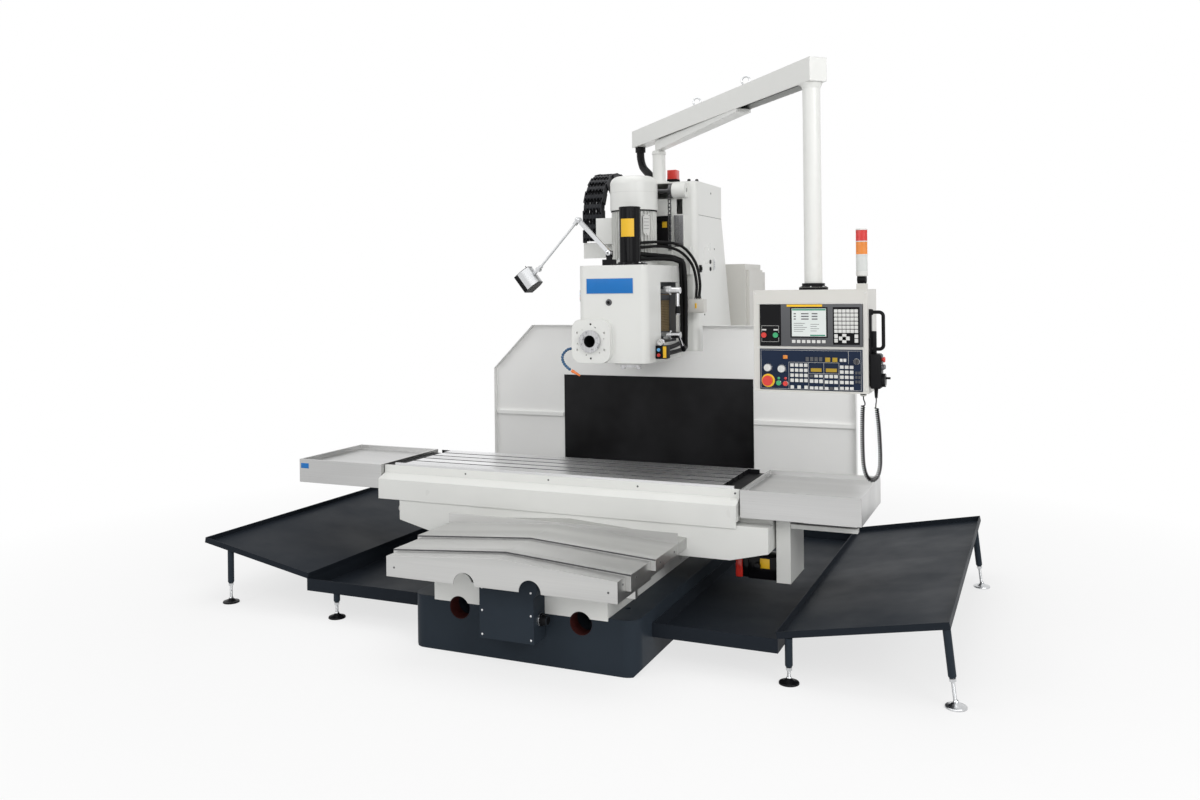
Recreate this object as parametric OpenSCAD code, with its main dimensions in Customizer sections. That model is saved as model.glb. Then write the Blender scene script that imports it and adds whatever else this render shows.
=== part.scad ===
// CNC bed milling machine with swivelling control panel.
// X runs along the table, Y from front to back, Z up. The origin is on the floor,
// on the machine's centre line, under the middle of the saddle at rest.

/* [Base] */
// Width of the base casting
base_w = 1180; // [1160:10:1300]
// Front face of the base, in front of the saddle centre
base_front = 880; // [860:10:960]
// Back face of the base, behind the saddle centre
base_back = 1760; // [1750:10:1900]
// Height of the base casting
base_h = 254; // [230:1:270]
// Radius of the vertical corners of the base
base_corner_r = 70; // [40:5:100]
// Radius of the two front holes
base_hole_r = 55; // [40:1:60]
// Distance between the two front holes
base_hole_pitch = 636; // [600:2:700]
// Height of the box ways above the base
way_h = 161; // [150:1:180]
// Width of one box way
way_w = 120; // [90:5:150]
// Distance between the outer edges of the box ways
way_span = 900; // [860:10:940]
// Radius of the anchor bolt holes
anchor_hole_r = 14; // [10:1:20]
// Distance between anchor bolts across the base
anchor_pitch_x = 960; // [900:10:1000]
// Distance between the front and rear anchor bolts
anchor_pitch_y = 2300; // [2100:10:2400]

/* [Table] */
// Length of the working surface
table_l = 1854; // [1700:1:1900]
// Width of the table
table_w = 500; // [480:5:520]
// Height of the working surface above the floor
table_top = 760; // [750:1:790]
// Thickness of the table casting
table_t = 143; // [135:1:146]
// Table centre to the left of the machine centre at rest
table_rest = 131; // [80:1:160]
// Number of T-slots
slot_n = 4; // [3:1:4]
// Distance between T-slots
slot_pitch = 100; // [80:5:110]
// Width of the slot throat
slot_w = 18; // [12:1:22]
// Depth of the slot
slot_depth = 42; // [34:1:46]
// Width of the slot's undercut
slot_head_w = 30; // [26:1:36]
// Height of the slot's undercut
slot_head_h = 14; // [10:1:16]
// Length of the drain pocket at each table end
pocket_l = 62; // [50:1:70]
// Depth of the drain pocket
pocket_depth = 25; // [15:1:30]

/* [End trays] */
// Length of each end tray
end_tray_l = 576; // [500:1:620]
// Width of each end tray
end_tray_w = 590; // [560:5:620]
// Depth of the end tray skirt
end_tray_h = 134; // [110:1:140]
// Depth of the pan in the end tray
end_pan_depth = 26; // [15:1:40]
// Length of the flange that bridges the gap to the table
bridge_l = 58; // [45:1:70]
// Thickness of the tray sheet
sheet_t = 3; // [2:0.5:4]

/* [Saddle] */
// Length of the saddle along X
saddle_l = 2088; // [2040:2:2110]
// Width of the saddle along Y
saddle_w = 644; // [620:2:646]
// Length of each slanted end of the saddle underside
saddle_slant_l = 190; // [150:5:240]
// Rise of the slanted ends
saddle_slant_h = 46; // [30:1:60]
// Running gap between a way and what slides on it
slide_gap = 0.1; // [0.05:0.01:0.2]
// Height of the X ways above the saddle
x_way_h = 32; // [20:1:40]

/* [Way covers] */
// Distance of the front cover section's side inside the base's side
cover_inset = 2; // [1:0.5:6]
// Step from one cover section to the next, sideways
cover_step = 24; // [18:1:28]
// Step from one cover section to the next, upwards
cover_rise = 9; // [8:1:11]
// Height of the eave of the front section above the floor
cover_eave = 488; // [480:1:492]
// Height of the roof ridge above the eave
cover_ridge = 44; // [30:1:60]
// Height of the skirt of the front section
cover_skirt = 94; // [85:1:100]
// Overhang of the cover's front panel in front of the base
cover_overhang = 210; // [180:5:230]
// Visible length of the front section at rest
front_show = 94; // [92.5:0.5:110]
// Visible length of the middle section at rest
mid_show = 240; // [238:1:250]
// Length of the front section
front_l = 400; // [330:5:420]
// Length of the middle section
mid_l = 420; // [405:1:424]
// Radius of the round notches in the front panel
notch_r = 55; // [40:1:60]

/* [Column] */
// Width of the column
column_w = 564; // [540:2:580]
// Front face of the column behind the saddle centre
column_front = 978; // [975:1:990]
// Height of the top of the column casting
column_top = 2185; // [2150:5:2200]
// Height of the top cover on the column
top_cover_h = 210; // [200:1:225]
// Wall of the column casting
column_wall = 40; // [30:1:50]
// Radius of the column's front corners
column_r = 40; // [20:1:60]
// Distance between the outer edges of the column ways
z_way_span = 400; // [380:2:410]
// Width of one column way
z_way_w = 60; // [50:1:80]
// Depth of the column ways
z_way_d = 23; // [20:1:25]
// Bottom end of the column ways
z_way_bottom = 1345; // [1342:1:1360]

/* [Head] */
// Width of the head
head_w = 430; // [420:1:440]
// Height of the head
head_h = 560; // [540:1:580]
// Depth of the head
head_d = 600; // [590:1:605]
// Front face of the head behind the saddle centre
head_front = 300; // [295:1:305]
// Height of the underside of the head at rest
head_bottom = 1305; // [1290:1:1320]
// Radius of the head's vertical edges
head_r = 42; // [25:1:60]
// Distance of the vertical spindle axis behind the saddle centre
vertical_y = 560; // [556:1:562]
// Distance of the horizontal spindle axis left of centre
horizontal_x = 130; // [120:1:135]
// Height of the horizontal spindle axis at rest
horizontal_z = 1430; // [1425:1:1435]
// Radius of the spindle noses, 50 taper
nose_r = 64.285;
// Large radius of the spindle taper
taper_r = 34.925;
// Depth of the spindle taper
taper_l = 100; // [90:1:110]
// Radius of the drawbar passage
drawbar_r = 14; // [10:1:16]
// Pitch circle diameter of the four nose holes
nose_pcd = 101.6;
// Radius of the nose holes
nose_hole_r = 6.8; // [5:0.1:8]
// Radial running clearance of the spindles
spindle_gap = 0.05; // [0.02:0.01:0.08]

/* [Spindle motor] */
// Radius of the motor body
motor_r = 138; // [120:1:140]
// Radius of the fan cowl
cowl_r = 146; // [142:1:147]
// Height of the motor body
motor_h = 330; // [300:1:340]
// Height of the fan cowl
cowl_h = 209; // [190:1:220]
// Distance of the motor axis left of centre
motor_x = 57; // [50:1:60]
// Distance of the motor axis behind the saddle centre
motor_y = 775; // [770:1:776]
// Number of cooling fins
fin_n = 36; // [24:1:48]

/* [Wall] */
// Left end of the back wall
wall_left = 1140; // [1100:5:1180]
// Right end of the back wall
wall_right = 1250; // [1200:5:1280]
// Height of the top of the wall
wall_top = 1497; // [1480:1:1520]
// Height of the lower edge of the wall
wall_bottom = 560; // [540:5:600]
// Front face of the wall sheet behind the saddle centre
wall_y = 960; // [958:1:965]
// Width of the folded edge of the wall
wall_flange = 36; // [25:1:45]
// Size of the cut top corners
wall_cut = 290; // [250:5:320]
// Height of the stiffening fold across the wall
wall_fold_z = 912; // [890:1:930]
// Width of the rubber curtain
curtain_w = 1266; // [1200:2:1300]
// Height of the top of the rubber curtain
curtain_top = 1172; // [1150:1:1190]

/* [Chip trays] */
// Outer edge of the left inner tray from centre
left_inner = 1387; // [1350:1:1420]
// Outer edge of the right inner tray from centre
right_inner = 1176; // [1140:1:1200]
// Width of each outer tray
wing_w = 722; // [680:1:760]
// Rise of the outer tray over its width
wing_rise = 130; // [110:1:150]
// Front edge of the chip trays in front of the saddle centre
tray_front = 690; // [650:5:720]
// Back edge of the chip trays behind the saddle centre
tray_back = 1400; // [1300:5:1450]
// Height of the underside of the inner trays
tray_z = 130; // [110:1:150]
// Height of the tray rims
tray_rim = 64; // [50:1:70]
// Thickness of the tray plate
tray_t = 4; // [3:0.5:5]
// Radius of the leg tubes
leg_r = 17; // [14:1:20]
// Lean of the right outer legs
leg_lean = 6; // [0:0.5:10]
// Radius of the levelling rods
rod_r = 8; // [6:0.5:10]
// Radius of the levelling feet
foot_r = 45; // [38:1:50]

/* [Boom and panel] */
// Distance of the boom pivot behind the saddle centre
pivot_y = 1075; // [1070:1:1080]
// Radius of the boom post
post_r = 41; // [35:1:42]
// Height of the top of the boom post
post_top = 2600; // [2550:5:2650]
// Height of the underside of the boom
boom_z = 2675; // [2660:5:2750]
// Height of the boom beam
boom_h = 110; // [90:1:120]
// Width of the boom beam
boom_w = 90; // [86:1:100]
// Wall of the boom beam
boom_wall = 6; // [4:1:8]
// Distance from the boom pivot to the hanging pole
boom_reach = 1897; // [1850:1:1950]
// Angle of the boom from straight ahead at rest
boom_angle = 42.2; // [38:0.1:46]
// Length of the boom behind its pivot
boom_tail = 370; // [340:5:400]
// Radius of the hanging pole
pole_r = 41; // [38:1:44]
// Width of the panel box
panel_w = 516; // [500:1:530]
// Height of the panel box
panel_h = 463; // [450:1:480]
// Depth of the panel box
panel_d = 250; // [220:1:260]
// Height of the underside of the panel box
panel_z = 1253; // [1240:1:1270]

/* [Hidden] */

$fn = 64;
white = [0.90, 0.90, 0.87];
cream = [0.83, 0.82, 0.76];
iron_blue = [0.18, 0.21, 0.25];
steel = [0.72, 0.73, 0.74];
black = [0.08, 0.08, 0.09];
// Clearance between parts on different bodies that don't bear on each other
gap = 0.3;

// ---- helpers -------------------------------------------------------------

// Block between two X, two Y and two Z limits
module slab(x, y, z) translate([x[0], y[0], z[0]])
    cube([x[1] - x[0], y[1] - y[0], z[1] - z[0]]);

// Profile in X and Z, extruded from front to back
module along_y(y0, y1) translate([0, y1, 0]) rotate([90, 0, 0]) linear_extrude(y1 - y0) children();

// Profile in Y and Z, extruded from left to right
module along_x(x0, x1) translate([x0, 0, 0]) rotate([90, 0, 90]) linear_extrude(x1 - x0) children();

module rod_x(x0, x1, y, z, r) translate([x0, y, z]) rotate([0, 90, 0]) cylinder(h = x1 - x0, r = r);
module rod_y(y0, y1, x, z, r) translate([x, y1, z]) rotate([90, 0, 0]) cylinder(h = y1 - y0, r = r);
module rod_z(z0, z1, x, y, r) translate([x, y, z0]) cylinder(h = z1 - z0, r = r);

// Round bar between two points
module bar(p, q, r) {
    d = q - p;
    l = norm(d);
    translate(p) rotate([0, acos(d[2] / l), atan2(d[1], d[0])]) cylinder(h = l, r = r);
}

// Smooth curve through the points of a route, n steps from one point to the next
function unit(v) = v / norm(v);
function on_curve(route, k, n) = let (i = min(floor(k / n), len(route) - 2), t = k / n - i,
    a = route[max(i - 1, 0)], b = route[i], c = route[i + 1], d = route[min(i + 2, len(route) - 1)])
    0.5 * (2 * b + (c - a) * t + (2 * a - 5 * b + 4 * c - d) * t * t + (3 * b - a - 3 * c + d) * t * t * t);

// Hose along a route; ref is a direction that the route never takes
module hose(route, r, ref = [1, 0, 0], sides = 12, n = 4) {
    last = (len(route) - 1) * n;
    polyhedron(
        points = [for (k = [0 : last]) let (p = on_curve(route, k, n),
            d = unit(k == 0 ? route[1] - route[0] : k == last ? route[len(route) - 1] - route[len(route) - 2]
                : on_curve(route, k + 1, n) - on_curve(route, k - 1, n)),
            u = unit(cross(d, ref)), v = cross(d, u))
            for (j = [0 : sides - 1]) p + r * (cos(360 * j / sides) * u + sin(360 * j / sides) * v)],
        faces = concat([[for (j = [0 : sides - 1]) j]],
            [for (k = [0 : last - 1], j = [0 : sides - 1]) let (m = (j + 1) % sides)
                [k * sides + j, (k + 1) * sides + j, (k + 1) * sides + m, k * sides + m]],
            [[for (j = [sides - 1 : -1 : 0]) last * sides + j]]));
}

// Rectangle with round corners between two limits on each axis
module round_rect(x, y, r) {
    translate([x[0] + r, y[0]]) square([x[1] - x[0] - 2 * r, y[1] - y[0]]);
    translate([x[0], y[0] + r]) square([x[1] - x[0], y[1] - y[0] - 2 * r]);
    for (cx = [x[0] + r, x[1] - r], cy = [y[0] + r, y[1] - r]) translate([cx, cy]) circle(r);
}

// ---- base ----------------------------------------------------------------

way_top = base_h + way_h;
way_out = way_span / 2;
way_in = way_out - way_w;
way_back = 640;
chamfer = 25;

module base_casting() {
    hw = base_w / 2;
    mid_y = (base_back - base_front) / 2;
    color(iron_blue) difference() {
        union() {
            intersection() {
                linear_extrude(base_h) round_rect([-hw, hw], [-base_front, base_back], base_corner_r);
                along_y(-base_front, base_back) polygon([[-hw + chamfer, 0], [hw - chamfer, 0],
                    [hw, chamfer], [hw, base_h], [-hw, base_h], [-hw, chamfer]]);
            }
            // Box ways, tied by a rib at each end
            for (s = [-1, 1]) translate([s * (way_in + way_out) / 2, 0, 0])
                slab([-way_w / 2, way_w / 2], [-base_front, way_back], [base_h, way_top]);
            slab([-way_in, way_in], [way_back - 60, way_back], [base_h, way_top - 60]);
        }
        for (s = [-1, 1]) rod_y(-base_front - 1, -base_front + 420, s * base_hole_pitch / 2,
            base_h - 37, base_hole_r);
        // Anchor bolt holes through the foot
        for (s = [-1, 1], t = [-1, 1])
            rod_z(-1, base_h + 1, s * anchor_pitch_x / 2, mid_y + t * anchor_pitch_y / 2, anchor_hole_r);
    }
}

// White covers over the front ends and outer sides of the ways
end_plate_t = 8;
end_plate_z = 243;
end_plate_top = 346;
end_arch_z = 330;
module way_end_plate() {
    y1 = -base_front - gap / 10;
    color(cream) {
        difference() {
            along_y(y1 - end_plate_t, y1) {
                translate([-way_out - 4, end_plate_z])
                    square([2 * way_out + 8, end_plate_top - end_plate_z]);
                for (s = [-1, 1]) translate([s * (base_hole_pitch / 2 - 16), end_arch_z]) circle(notch_r + 2);
            }
            for (s = [-1, 1]) rod_y(y1 - end_plate_t - 1, y1 + 1, s * base_hole_pitch / 2,
                base_h - 37, base_hole_r);
        }
        for (s = [-1, 1]) translate([s * (way_out + 2), 0, 0])
            slab([-2, 2], [y1, way_back], [base_h, end_plate_top + 30]);
    }
}

servo_box_w = 280;
servo_box_d = 112;
servo_box_z = [134, 378];
tongue_x = 108;
tongue_r = 50;
module y_servo_cover() {
    y1 = -base_front - end_plate_t - gap;
    y0 = y1 - servo_box_d;
    color(iron_blue) {
        along_y(y0, y1) {
            translate([-servo_box_w / 2, servo_box_z[0]])
                square([servo_box_w, servo_box_z[1] - servo_box_z[0]]);
            translate([tongue_x, servo_box_z[1] + 5]) circle(tongue_r);
            translate([tongue_x - tongue_r, servo_box_z[1] - 1]) square([2 * tongue_r, 6]);
        }
    }
    // Motor connector on the right side
    color(black) {
        rod_x(servo_box_w / 2, servo_box_w / 2 + 16, y0 + 60, 232, 28);
        rod_x(servo_box_w / 2 + 16, servo_box_w / 2 + 42, y0 + 60, 232, 22);
    }
}

// ---- telescopic way cover ------------------------------------------------

cover_front_y = -base_front - cover_overhang;
cover_w = base_w / 2 - cover_inset;

// Outline of cover section k, k = 0 at the front; the eave rises and widens with k
module cover_outline(k, grow, skirt_top) {
    w = cover_w + k * cover_step + grow;
    eave = cover_eave + k * cover_rise + grow;
    polygon([[-w, skirt_top], [-w, eave], [0, eave + cover_ridge], [w, eave], [w, skirt_top]]);
}

module cover_section(k, y0, y1) {
    skirt = cover_eave - cover_skirt + k * 30;
    along_y(y0, y1) difference() {
        cover_outline(k, 0, skirt);
        cover_outline(k, -sheet_t, skirt - 1);
    }
    // Front lip; on the outer sections it wipes over the section inside it
    along_y(y0, y0 + 6) difference() {
        cover_outline(k, 0, skirt);
        if (k == 0) cover_outline(k, -sheet_t - 4, skirt - 1);
        else cover_outline(k - 1, slide_gap, skirt - 1);
    }
}

module way_cover_front() color(steel) {
    cover_section(0, cover_front_y, cover_front_y + front_l);
    difference() {
        along_y(cover_front_y, cover_front_y + sheet_t) cover_outline(0, 0, cover_eave - cover_skirt);
        for (s = [-1, 1]) rod_y(cover_front_y - 1, cover_front_y + sheet_t + 1, s * 168,
            cover_eave - cover_skirt + 2, notch_r);
    }
    // Feet that carry the fixed section on the ways' side covers
    for (s = [-1, 1]) translate([s * (way_out + 4 + (cover_w - sheet_t - way_out - 4) / 2), 0, 0])
        slab([-(cover_w - sheet_t - way_out - 4) / 2, (cover_w - sheet_t - way_out - 4) / 2],
            [-base_front, -base_front + 30], [end_plate_top + 10, end_plate_top + 30 + cover_skirt / 2]);
}

mid_y0 = cover_front_y + front_show;
rear_y0 = mid_y0 + mid_show;
module way_cover_mid() color(steel) cover_section(1, mid_y0, mid_y0 + mid_l);

module way_cover_rear() color(steel) {
    cover_section(2, rear_y0, -saddle_w / 2);
    // Upright wiper plate across the section
    w = cover_w + 2 * cover_step;
    eave = cover_eave + 2 * cover_rise;
    along_y(rear_y0 + 298, rear_y0 + 301) difference() {
        translate([-w - 2, eave - 51]) square([2 * w + 4, 103]);
        cover_outline(2, -sheet_t, 0);
    }
}

// ---- saddle --------------------------------------------------------------

saddle_z = way_top + slide_gap;
x_way_top = table_top - table_t - slide_gap;
saddle_top = x_way_top - x_way_h;
stub_r = 18;
module saddle_casting() color(white) {
    hl = saddle_l / 2;
    hw = saddle_w / 2;
    difference() {
        along_y(-hw, hw) polygon([[-hl + saddle_slant_l, saddle_z], [hl - saddle_slant_l, saddle_z],
            [hl, saddle_z + saddle_slant_h], [hl, saddle_top], [-hl, saddle_top],
            [-hl, saddle_z + saddle_slant_h]]);
        // Channel for the X screw
        slab([-hl - 1, hl + 1], [-70, 70], [saddle_top - 90, saddle_top + 1]);
    }
    for (s = [-1, 1]) translate([0, s * 190, 0])
        slab([-hl, hl], [-45, 45], [saddle_top, x_way_top]);
    rod_x(-hl - 42, -hl, -hw + 70, saddle_z + 94, stub_r);
    // Bearing plate on the right end
    slab([hl - 1, hl + 8], [-150, 60], [saddle_z + 55, saddle_top - 30]);
}

drive_x = saddle_l / 2 + 78;
module x_drive_cover() {
    hl = saddle_l / 2;
    color(white) {
        slab([hl + 8 + gap, drive_x], [-200, 90], [saddle_z - 120, x_way_top - 9]);
        // Rail that steadies the end tray
        slab([drive_x, drive_x + 318], [-190, -150], [x_way_top - 55, x_way_top - 33]);
    }
}

servo_half = 58;
module x_servo_motor() {
    z = saddle_z - 64;
    y = -110;
    hl = saddle_l / 2;
    color(black) {
        slab([hl - 144, hl + 8], [y - servo_half, y + servo_half], [z - servo_half, z + servo_half]);
        slab([hl - 172, hl - 144], [y - servo_half + 5, y + servo_half - 5], [z - servo_half + 5, z + servo_half - 5]);
    }
    color("firebrick") slab([hl - 208, hl - 172], [y - servo_half, y + servo_half], [z - servo_half, z + servo_half]);
    color(black) rod_y(y - servo_half - 26, y - servo_half, hl - 94, z + 10, 17);
}

// ---- table ---------------------------------------------------------------

module slot_profile() {
    translate([-slot_w / 2, -slot_depth]) square([slot_w, slot_depth + 1]);
    translate([-slot_head_w / 2, -slot_depth]) square([slot_head_w, slot_head_h]);
}

table_full = table_l + 2 * pocket_l;
module table() color(steel) translate([-table_rest, 0, 0]) difference() {
    slab([-table_full / 2, table_full / 2], [-table_w / 2, table_w / 2], [table_top - table_t, table_top]);
    for (i = [0 : slot_n - 1]) translate([0, (i - (slot_n - 1) / 2) * slot_pitch, 0])
        along_x(-table_full / 2 - 1, table_full / 2 + 1) translate([0, table_top]) slot_profile();
    // Drain pockets at the ends
    for (s = [-1, 1]) translate([s * (table_full - pocket_l) / 2, 0, 0])
        slab([-(pocket_l + 2) / 2 + (s > 0 ? 1 : -1), (pocket_l + 2) / 2 + (s > 0 ? 1 : -1)],
            [-table_w / 2 + 12, table_w / 2 - 12], [table_top - pocket_depth, table_top + 1]);
    // Guide channel that straddles the screw nut
    slab([-table_full / 2 - 1, table_full / 2 + 1], [-80, 80], [table_top - table_t - 1, table_top - table_t + 14]);
}

// Folded white cover along the front of the table
apron_l = table_full + 91;
module apron() color(white) translate([-table_rest - 15, 0, 0]) {
    y = -table_w / 2;
    y0 = -saddle_w / 2 - 6;
    skirt = table_top - table_t - 47;
    along_x(-apron_l / 2, apron_l / 2) polygon([[y - gap / 10, table_top - 12], [y - 14, table_top - 12],
        [y - 14, table_top - 54], [y0, table_top - 80], [y0, skirt], [y0 + sheet_t, skirt],
        [y0 + sheet_t, table_top - 82], [y - 11, table_top - 56], [y - gap / 10, table_top - 56]]);
    // Closed ends, clear of the saddle
    for (x = [-apron_l / 2, apron_l / 2 - sheet_t]) along_x(x, x + sheet_t)
        polygon([[y - gap / 10, table_top - 13], [y - 13, table_top - 13], [y - 13, table_top - 54],
            [y0 + 1, table_top - 80], [y0 + 1, skirt], [y0 + 4, skirt],
            [y0 + 4, x_way_top - 17], [y - gap / 10, x_way_top - 17]]);
}

tray_lip = 12;
tray_top = table_top - 7;
module end_tray(x0) {
    y0 = -end_tray_w / 2;
    y1 = end_tray_w / 2;
    x1 = x0 + end_tray_l;
    difference() {
        slab([x0, x1], [y0, y1], [tray_top - end_tray_h, tray_top]);
        slab([x0 + sheet_t, x1 - sheet_t], [y0 + sheet_t, y1 - sheet_t],
            [tray_top - end_tray_h - 1, tray_top - end_pan_depth - sheet_t]);
        slab([x0 + sheet_t, x1 - sheet_t], [y0 + sheet_t, y1 - sheet_t], [tray_top - end_pan_depth, tray_top - sheet_t]);
        slab([x0 + tray_lip, x1 - tray_lip], [y0 + tray_lip, y1 - tray_lip], [tray_top - end_pan_depth, tray_top + 1]);
    }
}

right_tray_x = -table_rest + table_full / 2 + bridge_l - 16;
left_tray_x = -table_rest - table_full / 2 - bridge_l - 6 - end_tray_l;
module end_trays() color(steel) {
    end_tray(right_tray_x);
    end_tray(left_tray_x);
    // Bridging flanges to the table ends
    slab([-table_rest + table_full / 2, right_tray_x], [-table_w / 2 + 2, table_w / 2 - 2],
        [tray_top - sheet_t - 14, tray_top - 14]);
    slab([left_tray_x + end_tray_l, -table_rest - table_full / 2], [-table_w / 2 + 2, table_w / 2 - 2],
        [tray_top - sheet_t - 14, tray_top - 14]);
}

// ---- column --------------------------------------------------------------

// Side outline of the column in Y and Z
column_back_top = 1497;
column_back_low = 1740;
module column_side() polygon([[column_front, base_h], [column_front, column_top], [column_back_top, column_top],
    [column_back_low - 48, 1471], [column_back_low, 1290], [column_back_low, base_h]]);

module column_casting() color(white) {
    hw = column_w / 2;
    way_x = z_way_span / 2;
    difference() {
        union() {
            intersection() {
                along_x(-hw, hw) column_side();
                linear_extrude(column_top) {
                    round_rect([-hw, hw], [column_front, column_front + 200], column_r);
                    translate([-hw, column_front + column_r]) square([2 * hw, column_back_low]);
                }
            }
            // Bolting flange on the base
            slab([-hw - 90, hw + 90], [column_front + 20, base_back - 20], [base_h, base_h + 55]);
            for (s = [-1, 1]) translate([s * (way_x - z_way_w / 2), 0, 0])
                slab([-z_way_w / 2, z_way_w / 2], [column_front - z_way_d, column_front], [z_way_bottom, column_top]);
        }
        // Counterweight well, following the outline
        along_x(-hw + column_wall + 20, hw - column_wall - 20)
            polygon([[column_front + column_wall, 600], [column_front + column_wall, column_top + 1],
                [column_back_top - column_wall - 8, column_top + 1], [column_back_low - 48 - column_wall - 12, 1471],
                [column_back_low - column_wall - 10, 1290], [column_back_low - column_wall - 10, 600]]);
        // Recess of the Z screw between the ways, and slots for the chains
        slab([-108, 108], [column_front - 1, column_front + column_wall - 8], [z_way_bottom, column_top + 1]);
        for (s = [-1, 1]) translate([s * chain_x, 0, 0])
            slab([-16, 16], [column_front + 7, column_front + column_wall + 1], [600, column_top + 1]);
        // Sockets in the right side
        for (z = [1850, 1896]) rod_x(hw - 25, hw + 1, column_front + 262, z, 14);
    }
    // Bracket of the drag chain on the left side
    slab([link_x - 4, -hw + 1], [loop_y + 2 * loop_r - 26, loop_y + 2 * loop_r + 26],
        [chain_fix_z - 22, chain_fix_z - 9 - gap]);
    slab([link_x + 30, -hw + 1], [loop_y + 2 * loop_r - 4, loop_y + 2 * loop_r + 4],
        [chain_fix_z - 90, chain_fix_z - 21]);
    // Oval cover plate beside the sockets
    translate([hw, column_front + 330, 1880]) rotate([0, 90, 0]) linear_extrude(6)
        round_rect([-38, 38], [-16, 16], 15.9);
}

// Sprocket shaft: height, place, pitch radius and the chains' distance from centre
sprocket_r = 40;
sprocket_z = column_top + top_cover_h - 57;
sprocket_y = column_front - 21;
chain_x = 124;
shaft_r = 14;
drum_r = 47;
drum_x = [chain_x + 13, chain_x + 99];
module column_top_cover() color(white) {
    hw = column_w / 2;
    z1 = column_top + top_cover_h;
    z0 = column_top + gap / 10;
    difference() {
        union() {
            translate([0, 0, z0]) linear_extrude(z1 - z0) {
                round_rect([-hw, hw], [column_front, column_front + 200], column_r);
                translate([-hw, column_front + column_r])
                    square([2 * hw, column_back_top - column_front - column_r]);
            }
        }
        // Hollow over the well, open at the front for the chains
        slab([-hw + 16, hw - 16], [column_front + column_r, column_back_top - 16], [z0 - 1, z1 - 8]);
        slab([-hw + 52, hw - 52], [column_front + 7, column_front + column_r + 1], [z0 - 1, z1 - 8]);
        slab([-drum_x[0], drum_x[0]], [column_front - 1, column_front + 8],
            [sprocket_z - sprocket_r - 6, z1 - 8]);
        for (s = [-1, 1]) translate([s * (chain_x + 44), 0, 0])
            slab([-20, 20], [column_front - 1, column_front + 8], [z0 + 7, sprocket_z - drum_r - 5]);
    }
    // Bearing housings of the sprocket shaft
    for (s = [-1, 1]) difference() {
        translate([s * (drum_x[0] + drum_x[1]) / 2, 0, 0])
            rod_x(-(drum_x[1] - drum_x[0]) / 2, (drum_x[1] - drum_x[0]) / 2, sprocket_y, sprocket_z, drum_r);
        rod_x(-drum_x[0] - 15, drum_x[0] + 15, sprocket_y, sprocket_z, shaft_r + 0.05);
    }
}

module boom_post() color(white) {
    z0 = column_top + top_cover_h;
    difference() {
        union() {
            rod_z(z0, post_top - 16, 0, pivot_y, post_r);
            rod_z(post_top - 16, post_top, 0, pivot_y, post_r + 4);
            rod_z(z0, z0 + 14, 0, pivot_y, post_r + 24);
        }
        // Bearing of the boom's neck
        rod_z(post_top - 122, post_top + 1, 0, pivot_y, neck_r + 0.05);
    }
}

z_servo = [46, 1215];
module z_servo_motor() {
    z0 = column_top + top_cover_h;
    for (p = [[34, 0, 42], [42, 0, 10]])
        color(black) slab([z_servo[0] - p[0], z_servo[0] + p[0]], [z_servo[1] - p[0], z_servo[1] + p[0]], [z0, z0 + p[2]]);
    color("firebrick") slab([z_servo[0] - 32, z_servo[0] + 32], [z_servo[1] - 32, z_servo[1] + 32], [z0 + 42, z0 + 102]);
}

module sprocket(x) {
    tooth_n = 20;
    difference() {
        union() {
            rod_x(x - 5, x + 5, sprocket_y, sprocket_z, sprocket_r - 10);
            for (i = [0 : tooth_n - 1]) translate([0, sprocket_y, sprocket_z]) rotate([i * 360 / tooth_n, 0, 0])
                along_x(x - 4, x + 4) polygon([[sprocket_r - 14, -3.5], [sprocket_r - 6.5, -1.5],
                    [sprocket_r - 6.5, 1.5], [sprocket_r - 14, 3.5]]);
        }
        rod_x(x - 6, x + 6, sprocket_y, sprocket_z, shaft_r - 1);
    }
}
module chain_sprockets() color(steel) {
    for (s = [-1, 1]) sprocket(s * chain_x);
    rod_x(-drum_x[0] - 14, drum_x[0] + 14, sprocket_y, sprocket_z, shaft_r);
}

weight_z = [1000, 1500];
module counterweight() color([0.25, 0.26, 0.27]) {
    slab([-170, 170], [column_front + column_wall + 8, column_front + column_wall + 300], weight_z);
    // Lugs that the chains end in
    for (s = [-1, 1]) translate([s * chain_x, 0, 0])
        slab([-10, 10], [sprocket_y + sprocket_r - 6, column_front + column_wall + 10],
            [weight_z[1] - 20, weight_z[1] + 18]);
}

chain_lug_z = 1960;
module chain_run(x, links) {
    // Inner and outer plates of a roller chain, following the straight runs
    y = sprocket_y - sprocket_r;
    pitch = (sprocket_z - chain_lug_z - 4) / links;
    for (i = [0 : links - 1]) {
        z = chain_lug_z + 4 + i * pitch;
        rod_x(x - 9, x + 9, y, z + pitch / 2, 4.5);
        w = i % 2 == 0 ? 6 : 8.5;
        for (s = [-1, 1]) translate([s * w, 0, 0]) slab([x - 1.2, x + 1.2], [y - 6, y + 6], [z - 4, z + pitch + 4]);
    }
}
module lift_chain() color([0.3, 0.3, 0.31]) for (s = [-1, 1]) {
    x = s * chain_x;
    chain_run(x, 16);
    // Wrap over the sprocket
    translate([0, sprocket_y, sprocket_z]) along_x(x - 9, x + 9) difference() {
        circle(sprocket_r + 6);
        circle(sprocket_r - 6);
        translate([-100, -200]) square([200, 200]);
    }
    slab([x - 8, x + 8], [sprocket_y + sprocket_r - 6, sprocket_y + sprocket_r + 6],
        [weight_z[1] + 18 + gap, sprocket_z]);
}

// ---- back wall -----------------------------------------------------------

module wall_outline(inset) polygon([[-wall_left + inset, wall_bottom], [-wall_left + inset, wall_top - wall_cut + inset * 0.4],
    [-wall_left + wall_cut + inset * 0.4, wall_top - inset], [wall_right - wall_cut - inset * 0.4, wall_top - inset],
    [wall_right - inset, wall_top - wall_cut + inset * 0.4], [wall_right - inset, wall_bottom]]);

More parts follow.
